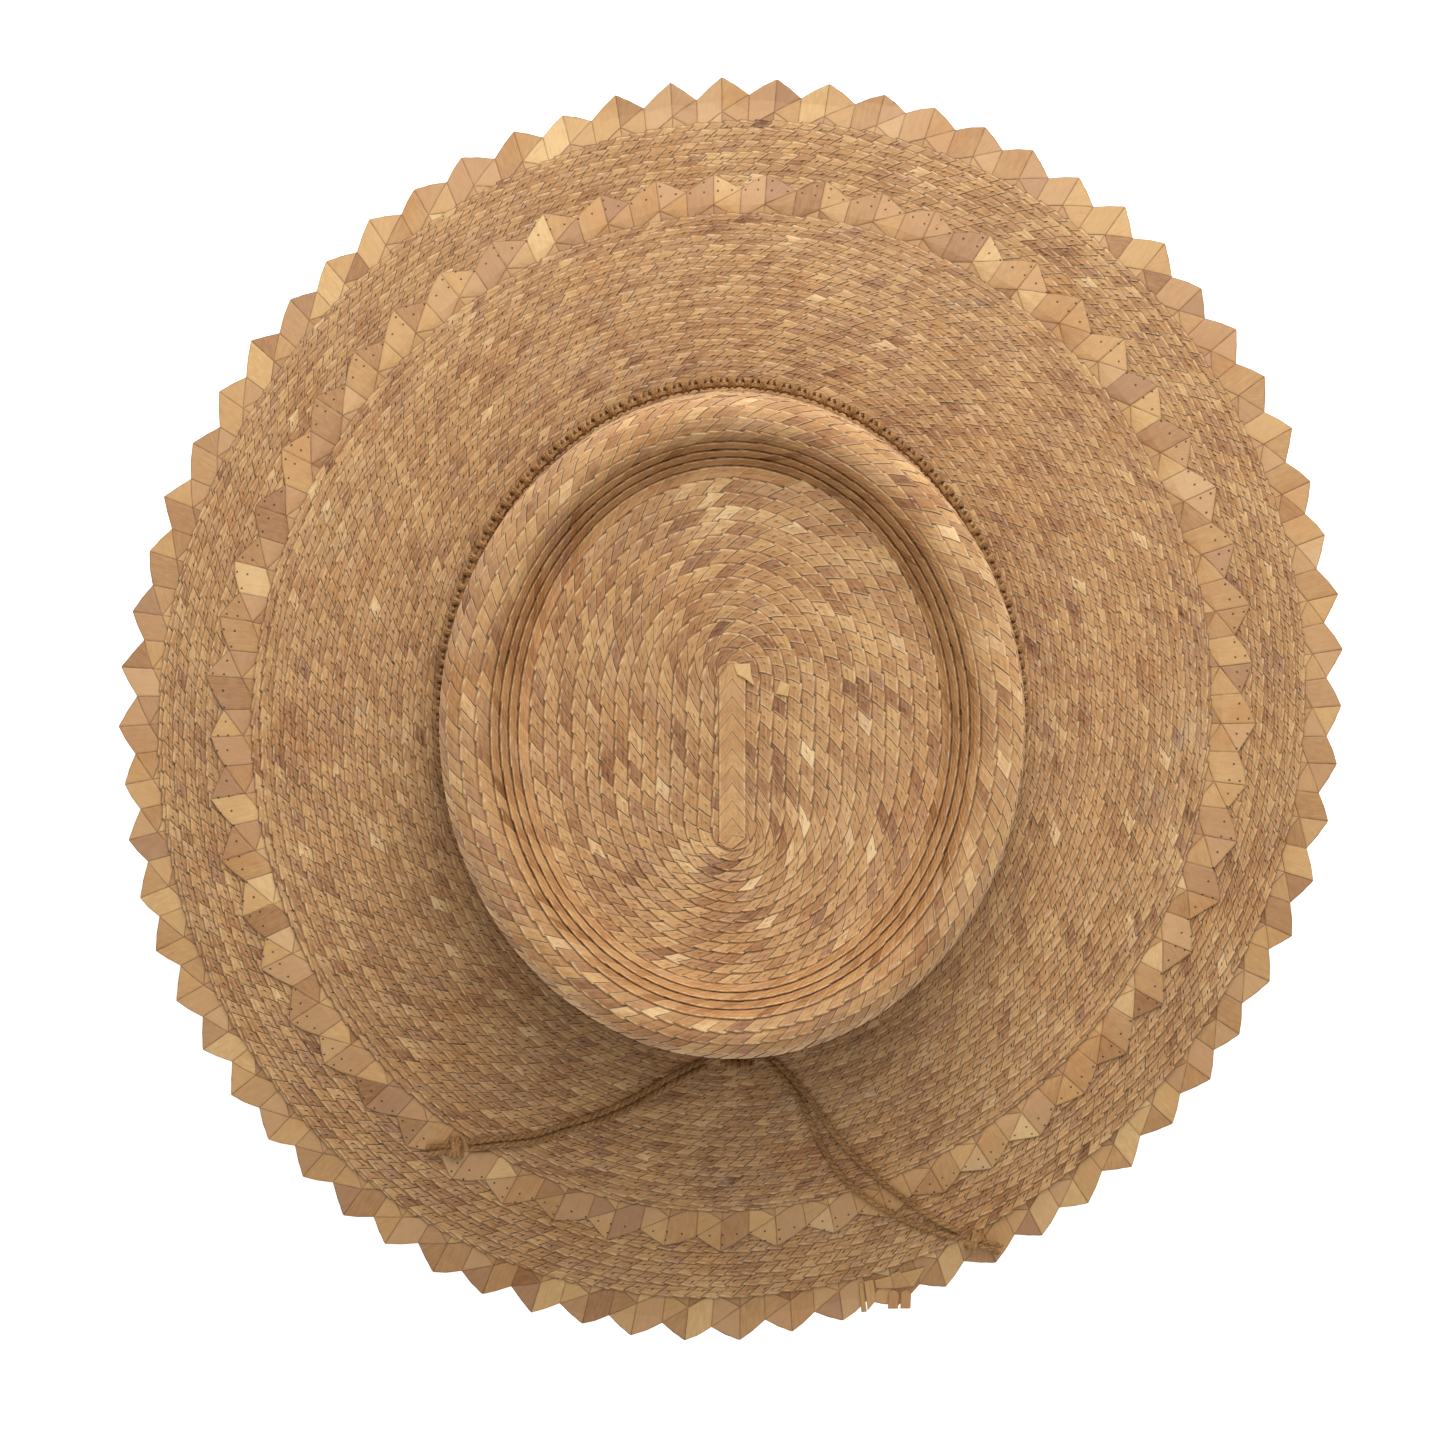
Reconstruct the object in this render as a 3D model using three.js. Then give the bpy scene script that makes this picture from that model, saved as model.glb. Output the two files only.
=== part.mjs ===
// Palm-leaf hat: one long flat plait sewn on itself in an oval spiral, with toothed plaits in and
// round the brim, a knotted cord hatband whose ends lie on the brim, and a sweatband inside.
// Millimetres. +Z up, +Y towards the back of the head, +X to the wearer's right.
// The origin is under the middle of the crown, on the surface that the brim rests on.
import * as THREE from 'three';

// driving heights and lengths
const brimHeight = 30; // plait mid-surface where the wall turns into the brim
const floorHeight = 114; // sunk crown floor
const shoulderHeight = 119.5; // centre of the rounded rim
const frontDrop = 32; // how far the brim dips at the front and back
const sideDrop = 3; // how far it dips at the sides
const dipPower = 1.2; // above 1 the brim curves down towards its edge
const rowPitch = 4.1; // visible width of one turn of the plait
const plaitThickness = 1.1; // plait, thread and the half that is hidden under it
const turnThickness = 0.7; // a single turn standing on edge
const lapLift = 0.7; // a turn's outer edge rides this high on the next one
const lap = 4; // width hidden under the neighbouring piece
const gap = 0.3; // between pieces that touch

// mean radii of the oval rings, with how much wider or longer each is pressed on the block:
// stretch is added along X and taken off along Y, skew turns the oval towards the back right, and
// shift is how far the ring's centre lies towards the back; the plait starts in front of the middle
const ovals = {
  starter: { radius: 12, stretch: -11, skew: 0, shift: -8.5 },
  floor: { radius: 72.5, stretch: -7.5, skew: 0, shift: 0 },
  recess: { radius: 82, stretch: -6.85, skew: 0, shift: 0 },
  rim: { radius: 93.8, stretch: -5.6, skew: 0, shift: 0 },
  wall: { radius: 98, stretch: -7, skew: 0, shift: 0 },
  fold: { radius: 104, stretch: -7, skew: 0, shift: 0 },
  band: { radius: 176, stretch: -3.55, skew: 3.05, shift: 0 },
  edge: { radius: 206.6, stretch: -5.6, skew: 4.85, shift: 0 },
};

// toothed plaits
const edgeTeeth = 70;
const bandTeeth = 57;
const toothTurn = THREE.MathUtils.degToRad(4.64); // bearing of the first tooth of the edge
const edgeToothDepth = 5.1;
const bandToothDepth = 5.4;
const bandInner = 161.4; // visible inner edge of the zigzag plait
const outerPlaitEdge = 192.7; // where the sawtooth plait comes out from under the outer turns
const restRadius = 199.5; // the front and back lie flat on the surface from here outwards

// rounded corners of the crown
const floorFillet = 4.5;
const rimFillet = 7.8;
const foldFillet = 6;
const slopeAngle = THREE.MathUtils.degToRad(53.8); // of the turns round the sunk floor

// cordage
const cordDiameter = 2;
const hatbandHeight = 6;
const hatbandThickness = 4.1;
const hatbandBottom = 36.6;
const cordSides = 8;
const crownSegments = 48;
const brimSegments = 56;

const straw = { light: 0xc99b69, mid: 0xbc8d5b, dark: 0xa97b4e, splice: 0xc48a4c };
const cordBrown = 0x8d6a3c;
const cotton = 0xd8c8a8;

const hat = new THREE.Group();
hat.name = 'palm_hat';

function material(color, roughness = 0.7) {
  return new THREE.MeshStandardMaterial({ color, roughness, metalness: 0 });
}

function addPiece(name, geometry, color, roughness) {
  const mesh = new THREE.Mesh(geometry, material(color, roughness));
  mesh.name = name;
  hat.add(mesh);
  return mesh;
}

// ---- the section of the hat, from the middle of the floor out to the edge of the brim ----

function sectionLine() {
  const path = new THREE.Path();
  const wallTaper = Math.atan((ovals.wall.radius - ovals.rim.radius) / (shoulderHeight - brimHeight));
  const rimCentre = ovals.rim.radius - rimFillet;
  const slopeTop = new THREE.Vector2(
    rimCentre - rimFillet * Math.sin(slopeAngle),
    shoulderHeight + rimFillet * Math.cos(slopeAngle),
  );
  const cornerRadius = slopeTop.x - (slopeTop.y - floorHeight) / Math.tan(slopeAngle);
  const cornerLength = floorFillet * Math.tan(slopeAngle / 2);
  const floorEnd = cornerRadius - cornerLength;
  path.moveTo(ovals.starter.radius, floorHeight);
  path.lineTo(floorEnd, floorHeight);
  path.absarc(floorEnd, floorHeight + floorFillet, floorFillet,
    -Math.PI / 2, slopeAngle - Math.PI / 2, false);
  path.lineTo(slopeTop.x, slopeTop.y);
  path.absarc(rimCentre, shoulderHeight, rimFillet, Math.PI / 2 + slopeAngle, wallTaper, true);
  const foldRadius = ovals.wall.radius + foldFillet;
  const foldHeight = brimHeight + foldFillet;
  path.lineTo(
    foldRadius - foldFillet * Math.cos(wallTaper),
    foldHeight - foldFillet * Math.sin(wallTaper),
  );
  path.absarc(foldRadius, foldHeight, foldFillet, Math.PI + wallTaper, 1.5 * Math.PI, false);
  path.lineTo(ovals.edge.radius + 1, brimHeight);
  return path;
}

const section = sectionLine();
const sectionLength = section.getLength();

// distance along the section to the end of each of its lines and arcs
const ends = section.curves.map(
  (curve, index) => section.curves.slice(0, index + 1).reduce((sum, c) => sum + c.getLength(), 0),
);
const brimStart = ends.at(-2);

const foldEnd = brimStart + 2; // end of the turn that lies in the fold

function alongBrim(radius) {
  return brimStart + radius - ovals.fold.radius;
}

// a point of the section, pushed off it along its upper normal
function sectionPoint(distance, lift) {
  const share = THREE.MathUtils.clamp(distance / sectionLength, 0, 1);
  const point = section.getPoint(share);
  const tangent = section.getTangent(share);
  return new THREE.Vector2(point.x - tangent.y * lift, point.y + tangent.x * lift);
}

// closed outline of a run of plait; stations are [distance along the section, lift]
function plaitOutline(stations, thickness) {
  const under = stations.map(([distance, lift]) => sectionPoint(distance, lift - thickness / 2));
  const over = stations.map(([distance, lift]) => sectionPoint(distance, lift + thickness / 2));
  return [...under, ...over.reverse(), under[0].clone()];
}

// ---- pressing round rings on the oval block, and letting the brim dip ----

function ovalAt(radius) {
  const rings = Object.values(ovals);
  const outer = Math.max(1, rings.findIndex((ring) => ring.radius >= radius));
  const [a, b] = radius > ovals.edge.radius ? rings.slice(-2) : [rings[outer - 1], rings[outer]];
  const share = THREE.MathUtils.clamp((radius - a.radius) / (b.radius - a.radius), 0, 1);
  return {
    stretch: THREE.MathUtils.lerp(a.stretch, b.stretch, share),
    skew: THREE.MathUtils.lerp(a.skew, b.skew, share),
    shift: THREE.MathUtils.lerp(a.shift, b.shift, share),
  };
}

// how far the brim lies below the fold; the front and back are flattened where they rest
function brimDip(radius, x, y) {
  const out = (radius - ovals.fold.radius) / (ovals.edge.radius - ovals.fold.radius);
  if (out <= 0) return 0;
  const frontShare = (y * y) / (x * x + y * y);
  const dip = THREE.MathUtils.lerp(sideDrop, frontDrop, frontShare) * out ** dipPower;
  return Math.min(dip, brimHeight - lapLift - plaitThickness / 2);
}

function press(x, y, z) {
  const radius = Math.hypot(x, y);
  const { stretch, skew, shift } = ovalAt(radius);
  const cos = x / radius;
  const sin = y / radius;
  const px = (radius + stretch) * cos + skew * sin;
  const py = (radius - stretch) * sin + skew * cos + shift;
  return new THREE.Vector3(px, py, z - brimDip(radius, px, py));
}

function pressOnBlock(geometry) {
  const position = geometry.attributes.position;
  for (let i = 0; i < position.count; i += 1) {
    const point = press(position.getX(i), position.getY(i), position.getZ(i));
    position.setXYZ(i, point.x, point.y, point.z);
  }
  return geometry;
}

// ring radius on which a point of the brim lies
function ringAt(x, y) {
  let radius = Math.hypot(x, y);
  for (let i = 0; i < 12; i += 1) {
    const { stretch, skew } = ovalAt(radius);
    const a = radius + stretch;
    const b = radius - stretch;
    const scale = a * b - skew * skew;
    radius *= Math.hypot((b * x - skew * y) / scale, (a * y - skew * x) / scale);
  }
  return radius;
}

// height of the brim's mid-surface under a point seen from above
function brimLevel(x, y) {
  return brimHeight - brimDip(ringAt(x, y), x, y);
}

// a lathe turns about Y, the hat stands on Z
function turned(outline, segments, startAngle = 0) {
  const geometry = new THREE.LatheGeometry(outline, segments);
  geometry.rotateX(Math.PI / 2);
  geometry.rotateZ(startAngle);
  return geometry;
}

// evenly spaced stations whose lift rises from the tucked inner edge to the lapping outer edge
function lapped(from, to, steps) {
  return Array.from({ length: steps + 1 }, (_, i) => {
    const share = i / steps;
    return [THREE.MathUtils.lerp(from, to, share), THREE.MathUtils.lerp(-lapLift, lapLift, share)];
  });
}

// a run of turns: tucked flat under its neighbour, then rising, then flat over the next piece
function runOfTurns(from, to, steps, tuck = lap, tuckLift = -lapLift) {
  return [[from - tuck, tuckLift], ...lapped(from, to - lap, steps), [to, lapLift]];
}

function addPlait(name, stations, color) {
  const outline = plaitOutline(stations, plaitThickness);
  const segments = stations[0][0] + lap >= brimStart ? brimSegments : crownSegments;
  return addPiece(name, pressOnBlock(turned(outline, segments)), color);
}

// every second column of the outer edge is drawn in, which leaves pointed teeth
function cutTeeth(geometry, outerRadius, depth, teeth, startAngle) {
  const position = geometry.attributes.position;
  const halfPitch = Math.PI / teeth;
  for (let i = 0; i < position.count; i += 1) {
    const radius = Math.hypot(position.getX(i), position.getY(i));
    const angle = Math.atan2(position.getY(i), position.getX(i)) - startAngle;
    const column = Math.round(angle / halfPitch);
    if (radius > outerRadius - 0.01 && column % 2 !== 0) {
      const share = (radius - depth) / radius;
      position.setX(i, position.getX(i) * share);
      position.setY(i, position.getY(i) * share);
    }
  }
  return geometry;
}

function addToothedPlait(name, stations, depth, teeth, startAngle, color) {
  const outer = ovals.fold.radius + stations.at(-1)[0] - brimStart;
  // a lathe's first column lies on +Y before it is stood up, so it is turned back by a quarter
  const ring = turned(plaitOutline(stations, plaitThickness), 2 * teeth, startAngle - Math.PI / 2);
  return addPiece(name, pressOnBlock(cutTeeth(ring, outer, depth, teeth, startAngle)), color);
}

// ---- crown ----

const starterWidth = 8.6;
const starterLength = 57;

function addStarter() {
  const half = starterLength / 2 - starterWidth / 2;
  const shape = new THREE.Shape();
  shape.moveTo(starterWidth / 2, -half);
  shape.lineTo(starterWidth / 2, half);
  shape.absarc(0, half, starterWidth / 2, 0, Math.PI, false);
  shape.lineTo(-starterWidth / 2, -half);
  shape.absarc(0, -half, starterWidth / 2, Math.PI, 2 * Math.PI, false);
  const geometry = new THREE.ExtrudeGeometry(shape, {
    depth: turnThickness, bevelEnabled: false, curveSegments: 8,
  });
  geometry.translate(0, ovals.starter.shift, floorHeight - lapLift + plaitThickness + gap);
  addPiece('crown_starter', geometry, straw.light);
}

function addCrown() {
  addStarter();
  const recessTurns = 4;
  const recessStart = ends[1] - rowPitch / 2;
  const rimStart = recessStart + recessTurns * rowPitch;
  const wallStart = rimStart + 4 * rowPitch;
  const foldStart = ends[4];
  const turnLap = 1.6;
  const turnTuck = -lapLift - (plaitThickness - turnThickness) / 2;
  addPlait('crown_top_plait', runOfTurns(lap * 2, recessStart, 1, lap * 2), straw.mid);
  for (let turn = 0; turn < recessTurns; turn += 1) {
    const start = recessStart + turn * rowPitch;
    const steps = turn === 0 || turn === recessTurns - 1 ? 3 : 1;
    const outline = plaitOutline(lapped(start - turnLap, start + rowPitch, steps), turnThickness);
    addPiece(`recess_turn_${turn + 1}`, pressOnBlock(turned(outline, crownSegments)), straw.dark);
  }
  const rim = runOfTurns(rimStart, wallStart, 5, turnLap, turnTuck);
  addPlait('crown_rim_plait', rim, straw.light);
  addPlait('crown_wall_plait', runOfTurns(wallStart, foldStart, 2), straw.mid);
  addPlait('brim_fold_turn', runOfTurns(foldStart, foldEnd, 3), straw.mid);
}

// ---- brim ----

function addBrim() {
  const bandEdge = alongBrim(ovals.band.radius);
  const edge = alongBrim(ovals.edge.radius);
  const outerStart = alongBrim(ovals.band.radius - bandToothDepth) - lap;
  addPlait('brim_inner_plait', runOfTurns(foldEnd, alongBrim(bandInner), 3), straw.mid);
  addToothedPlait('brim_zigzag_band', [
    [alongBrim(bandInner) - lap, -lapLift],
    [alongBrim(bandInner) + 0.5, -lapLift],
    [outerStart - 1, lapLift],
    [bandEdge, lapLift],
  ], bandToothDepth, bandTeeth, toothTurn, straw.light);
  const outer = runOfTurns(bandEdge + 0.5, alongBrim(outerPlaitEdge), 1, bandEdge + 0.5 - outerStart);
  addPlait('brim_outer_plait', outer, straw.mid);
  addToothedPlait('brim_sawtooth_edge', [
    [alongBrim(outerPlaitEdge) - lap, -lapLift],
    [alongBrim(restRadius), -lapLift],
    [edge, -lapLift],
  ], edgeToothDepth, edgeTeeth, toothTurn, straw.light);
}

// two strand ends that lie over the splice of the edge plait, front right
function addLooseEnds() {
  const size = { width: 3.4, length: 6.4, thickness: 0.6, point: 0.9 };
  const root = new THREE.Vector2(54.9, -194.6);
  const spacing = 4.1;
  for (let i = 0; i < 2; i += 1) {
    const shape = new THREE.Shape();
    shape.moveTo(0, -size.length);
    shape.lineTo(size.width, -size.length);
    shape.lineTo(size.width, -size.point);
    shape.lineTo(size.width / 2, 0);
    shape.lineTo(0, -size.point);
    const geometry = new THREE.ExtrudeGeometry(shape, { depth: size.thickness, bevelEnabled: false });
    const x = root.x + i * spacing - size.width / 2;
    const edgeTop = brimLevel(x + size.width, root.y) - lapLift + plaitThickness / 2;
    geometry.translate(x, root.y, edgeTop + gap);
    addPiece(`edge_loose_end_${i + 1}`, geometry, straw.splice);
  }
}

// ---- sweatband ----

function addSweatband() {
  const thickness = 0.8;
  const height = 30;
  const bottom = brimHeight + 1.5;
  const clearance = lapLift + plaitThickness / 2 + gap + thickness / 2;
  const taper = (ovals.wall.radius - ovals.rim.radius) / (shoulderHeight - brimHeight);
  const low = ovals.wall.radius - clearance;
  const high = low - taper * height;
  const outline = [
    new THREE.Vector2(low - thickness / 2, bottom),
    new THREE.Vector2(low + thickness / 2, bottom),
    new THREE.Vector2(high + thickness / 2, bottom + height),
    new THREE.Vector2(high - thickness / 2, bottom + height),
    new THREE.Vector2(low - thickness / 2, bottom),
  ];
  addPiece('sweatband', pressOnBlock(turned(outline, crownSegments)), cotton, 0.9);
}

// ---- hatband, its tie and its tails ----

const tieHeight = hatbandBottom + hatbandHeight / 2;

function addHatband() {
  const inner = ovals.wall.radius + lapLift + plaitThickness / 2 + gap;
  const centre = inner + hatbandThickness / 2;
  const outline = [];
  const corners = 8;
  for (let i = 0; i <= corners; i += 1) {
    const angle = (i + 0.5) * (2 * Math.PI / corners);
    const bulge = 1 / Math.cos(Math.PI / corners);
    outline.push(new THREE.Vector2(
      centre + (hatbandThickness / 2) * Math.cos(angle) * bulge,
      tieHeight + (hatbandHeight / 2) * Math.sin(angle) * bulge,
    ));
  }
  addPiece('hatband', pressOnBlock(turned(outline, crownSegments)), cordBrown, 0.9);
}

// a rounded knot, longest along its own X, standing at a place with a bearing
function knotGeometry(length, width, height, bearing, place) {
  const geometry = new THREE.SphereGeometry(0.5, 12, 8);
  geometry.scale(length, width, height);
  geometry.rotateZ(bearing);
  geometry.translate(place.x, place.y, place.z);
  return geometry;
}

// mid-line height of a cord that lies on the brim's laps
function lyingHeight(x, y) {
  return brimLevel(x, y) + lapLift + plaitThickness / 2 + gap + cordDiameter / 2;
}

// where each strand runs, seen from above, from the tie to its end knot
const strandRoutes = {
  tail_left_a: [[-9.4, -113.1], [-14.5, -115.5], [-20.8, -119.0], [-26.8, -122.7], [-32.7, -126.3],
    [-38.1, -129.0], [-46.5, -132.5], [-54.8, -135.1], [-60.4, -137.2], [-65.4, -138.8],
    [-72.2, -139.9], [-79.1, -140.6], [-87.4, -141.9]],
  tail_left_b: [[-8.3, -115.1], [-13.5, -117.6], [-19.6, -121.0], [-25.6, -124.7], [-31.5, -128.3],
    [-37.1, -131.2], [-45.7, -134.8], [-54.0, -137.4], [-59.8, -139.5], [-65.0, -141.1],
    [-72.0, -142.2], [-78.8, -142.9], [-87.0, -144.2]],
  tail_right_a: [[13.8, -112.6], [20.4, -119.7], [26.4, -126.8], [32.4, -136.1], [38.3, -143.7],
    [45.6, -151.3], [53.5, -158.3], [61.3, -164.2], [68.6, -169.3], [76.6, -173.5]],
  tail_right_b: [[11.2, -112.8], [16.9, -118.8], [22.2, -126.1], [26.4, -134.8], [30.6, -143.6],
    [36.1, -152.4], [43.3, -159.5], [51.8, -165.9], [60.2, -169.9], [67.5, -173.1],
    [76.0, -175.8]],
};

function addStrand(name, route, steps) {
  const points = route.map(([x, y]) => new THREE.Vector3(x, y, lyingHeight(x, y)));
  const line = new THREE.CatmullRomCurve3(points, false, 'centripetal');
  const profile = new THREE.Shape();
  for (let i = 0; i < cordSides; i += 1) {
    const angle = (i + 0.5) * (2 * Math.PI / cordSides);
    const corner = [Math.cos(angle) * cordDiameter / 2, Math.sin(angle) * cordDiameter / 2];
    if (i === 0) profile.moveTo(...corner);
    else profile.lineTo(...corner);
  }
  const geometry = new THREE.ExtrudeGeometry(profile, {
    extrudePath: line, steps, bevelEnabled: false, curveSegments: 1,
  });
  addPiece(name, geometry, cordBrown, 0.9);
}

function addTie() {
  const tie = new THREE.Vector3(2, -113.6, 35.2);
  addPiece('hatband_tie_knot', knotGeometry(12, 4, 5, 0, tie), cordBrown, 0.9);
}

const endKnot = { length: 6.5, width: 8, height: 4.8, rise: 2 }; // rise above the strands' line

function addTails() {
  for (const [name, route] of Object.entries(strandRoutes)) {
    addStrand(name, route, 20);
  }
  const knots = {
    tail_left_knot: { x: -91.4, y: -143.6, bearing: 0.12 },
    tail_right_knot: { x: 81.2, y: -176.4, bearing: -0.35 },
  };
  for (const [name, { x, y, bearing }] of Object.entries(knots)) {
    const place = new THREE.Vector3(x, y, lyingHeight(x, y) + endKnot.rise);
    addPiece(name, knotGeometry(endKnot.length, endKnot.width, endKnot.height, bearing, place),
      cordBrown, 0.9);
  }
}

addCrown();
addBrim();
addLooseEnds();
addSweatband();
addHatband();
addTie();
addTails();

export default hat;
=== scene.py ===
import math

import bpy
import numpy as np
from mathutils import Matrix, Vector


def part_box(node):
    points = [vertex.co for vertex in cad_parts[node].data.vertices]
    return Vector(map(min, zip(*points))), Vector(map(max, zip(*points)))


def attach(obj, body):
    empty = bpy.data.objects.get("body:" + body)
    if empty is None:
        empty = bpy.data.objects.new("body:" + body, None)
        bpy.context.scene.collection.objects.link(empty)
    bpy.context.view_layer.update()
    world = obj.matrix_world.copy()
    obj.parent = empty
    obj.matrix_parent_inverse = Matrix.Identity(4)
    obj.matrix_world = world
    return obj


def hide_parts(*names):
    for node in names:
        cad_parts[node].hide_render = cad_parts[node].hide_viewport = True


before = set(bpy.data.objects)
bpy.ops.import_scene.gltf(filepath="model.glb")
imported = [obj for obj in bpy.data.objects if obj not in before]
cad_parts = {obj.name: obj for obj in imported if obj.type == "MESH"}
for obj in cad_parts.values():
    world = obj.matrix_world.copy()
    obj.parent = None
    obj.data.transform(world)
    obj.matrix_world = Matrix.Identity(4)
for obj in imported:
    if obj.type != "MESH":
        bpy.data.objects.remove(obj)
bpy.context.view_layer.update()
mm = 0.001
fullTurn = 2 * math.pi


# camera
cameraLook = {
    "place": (-0.00295, 0.0454, 1.2086),
    "tilt": -2.3,   # degrees, a little towards the front of the hat
    "lens": 89.66,
}


def setCamera():
    bpy.ops.object.camera_add(location=cameraLook["place"],
                              rotation=(math.radians(cameraLook["tilt"]), 0, 0))
    camera = bpy.context.object
    camera.name = "topCamera"
    camera.data.lens = cameraLook["lens"]
    camera.data.sensor_width = 36
    bpy.context.scene.camera = camera


setCamera()


# the form of the hat, in metres
hatForm = {
    "brimHeight": 0.030,       # where the wall turns into the brim
    "floorHeight": 0.114,      # sunk floor of the crown
    "shoulderHeight": 0.1195,  # middle of the rounded rim
    "frontDrop": 0.032,        # how far the brim dips in front and behind
    "sideDrop": 0.003,
    "dipPower": 1.2,
    "lowestMiddle": 0.00125,   # the brim's mid-surface where it rests
    "rowPitch": 0.0041,        # what shows of each turn of the crown
    "floorPitch": 0.0039,      # of the sunk floor
    "brimPitch": 0.0038,       # and of the brim
    "floorFillet": 0.0045,
    "rimFillet": 0.0078,
    "foldFillet": 0.006,
    "slope": math.radians(53.8),
}
# mean radius, stretch along X, skew to the back right, straight side, shift to the back
ovalRings = np.array([
    [0.0120, -0.01190, 0.0, 0.0240, -0.0082],
    [0.0161, -0.01180, 0.0, 0.0240, -0.0080],
    [0.0725, -0.00750, 0.0, 0.0, 0.0],
    [0.0820, -0.00685, 0.0, 0.0, 0.0],
    [0.0938, -0.00560, 0.0, 0.0, 0.0],
    [0.0980, -0.00700, 0.0, 0.0, 0.0],
    [0.1040, -0.00700, 0.0, 0.0, 0.0],
    [0.1760, -0.00355, 0.00305, 0.0, 0.0],
    [0.2066, -0.00560, 0.00485, 0.0, 0.0],
])
ringOf = {
    "centre": 0.012,
    "starter": 0.0161,
    "rim": 0.0938,
    "wall": 0.098,
    "fold": 0.104,
    "bandInner": 0.1614,
    "band": 0.176,
    "outerPlait": 0.1927,
    "edge": 0.2066,
}


def arcPoints(centre, radius, start, end):
    steps = max(4, int(abs(end - start) * radius / 0.0001))
    angles = np.linspace(start, end, steps)
    return np.stack([centre[0] + radius * np.cos(angles), centre[1] + radius * np.sin(angles)], 1)


def linePoints(a, b):
    return np.linspace(a, b, max(2, int(math.dist(a, b) / 0.0002)))


def makeSection():
    form = hatForm
    taper = math.atan((ringOf["wall"] - ringOf["rim"]) / (form["shoulderHeight"] - form["brimHeight"]))
    rimCentre = (ringOf["rim"] - form["rimFillet"], form["shoulderHeight"])
    slopeTop = (rimCentre[0] - form["rimFillet"] * math.sin(form["slope"]),
                rimCentre[1] + form["rimFillet"] * math.cos(form["slope"]))
    corner = slopeTop[0] - (slopeTop[1] - form["floorHeight"]) / math.tan(form["slope"])
    floorEnd = corner - form["floorFillet"] * math.tan(form["slope"] / 2)
    floorCentre = (floorEnd, form["floorHeight"] + form["floorFillet"])
    foldCentre = (ringOf["wall"] + form["foldFillet"], form["brimHeight"] + form["foldFillet"])
    cornerArc = arcPoints(floorCentre, form["floorFillet"], -math.pi / 2, form["slope"] - math.pi / 2)
    rimArc = arcPoints(rimCentre, form["rimFillet"], math.pi / 2 + form["slope"], taper)
    foldArc = arcPoints(foldCentre, form["foldFillet"], math.pi + taper, 1.5 * math.pi)
    parts = [
        linePoints((ringOf["centre"], form["floorHeight"]), (floorEnd, form["floorHeight"])),
        cornerArc,
        linePoints(cornerArc[-1], rimArc[0]),
        rimArc,
        linePoints(rimArc[-1], foldArc[0]),
        foldArc,
        linePoints(foldArc[-1], (ringOf["edge"] + 0.004, form["brimHeight"])),
    ]
    points = np.concatenate([part[:-1] for part in parts[:-1]] + [parts[-1]])
    steps = np.diff(points, axis=0)
    distance = np.concatenate([[0], np.cumsum(np.hypot(steps[:, 0], steps[:, 1]))])
    tangent = np.gradient(points, distance, axis=0)
    tangent /= np.hypot(tangent[:, 0], tangent[:, 1])[:, None]
    counts = np.cumsum([len(part) - 1 for part in parts])
    ends = distance[np.minimum(counts, len(distance) - 1)]
    return {"points": points, "distance": distance, "tangent": tangent, "ends": ends}


section = makeSection()
brimStart = section["ends"][5]


def alongBrim(radius):
    return brimStart + radius - ringOf["fold"]


def sectionAt(distance, lift):
    known = section["distance"]
    radius = np.interp(distance, known, section["points"][:, 0])
    height = np.interp(distance, known, section["points"][:, 1])
    outward = np.interp(distance, known, section["tangent"][:, 0])
    upward = np.interp(distance, known, section["tangent"][:, 1])
    return radius - upward * lift, height + outward * lift


def brimDip(radius, x, y):
    form = hatForm
    out = np.maximum((radius - ringOf["fold"]) / (ringOf["edge"] - ringOf["fold"]), 0)
    front = y * y / np.maximum(x * x + y * y, 1e-12)
    dip = (form["sideDrop"] + (form["frontDrop"] - form["sideDrop"]) * front) * out ** form["dipPower"]
    return np.minimum(dip, form["brimHeight"] - form["lowestMiddle"])


def press(radius, height, bearing):
    rings = ovalRings[:, 0]
    stretch = np.interp(radius, rings, ovalRings[:, 1])
    skew = np.interp(radius, rings, ovalRings[:, 2])
    straight = np.interp(radius, rings, ovalRings[:, 3])
    halfWidth = np.maximum(radius + stretch, 1e-5)
    halfLength = radius - stretch
    quarter = math.pi / 2
    fromSide = np.arcsin(np.clip(np.abs(np.sin(bearing)), 0, 1))
    bend = quarter * straight / (straight + quarter * halfWidth)  # bearing where the end's arc begins
    around = np.clip((fromSide - bend) / (1 - bend / quarter), 0, quarter)
    alongSide = np.where(straight < 1e-6, 0, np.clip(fromSide / np.maximum(bend, 1e-6), 0, 1))
    px = np.sign(np.cos(bearing)) * halfWidth * np.cos(around)
    py = np.sign(np.sin(bearing)) * (straight * alongSide + (halfLength - straight) * np.sin(around))
    x = px + skew * np.sin(bearing)
    y = py + skew * np.cos(bearing) + np.interp(radius, rings, ovalRings[:, 4])
    return np.stack([x, y, height - brimDip(radius, x, y)], -1)


def onHat(distance, lift, bearing):
    radius, height = sectionAt(distance, lift)
    return press(radius, height, bearing)


def ringAt(x, y):
    radius = math.hypot(x, y)
    for _ in range(14):
        stretch = np.interp(radius, ovalRings[:, 0], ovalRings[:, 1])
        skew = np.interp(radius, ovalRings[:, 0], ovalRings[:, 2])
        a = radius + stretch
        b = radius - stretch
        scale = a * b - skew * skew
        radius *= math.hypot((b * x - skew * y) / scale, (a * y - skew * x) / scale)
    return radius


def brimLevel(x, y):
    return hatForm["brimHeight"] - float(brimDip(ringAt(x, y), x, y))


def feed(tree, sockets, values):
    for key, value in values.items():
        if isinstance(value, bpy.types.NodeSocket):
            tree.links.new(value, sockets[key])
        else:
            sockets[key].default_value = value


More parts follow.
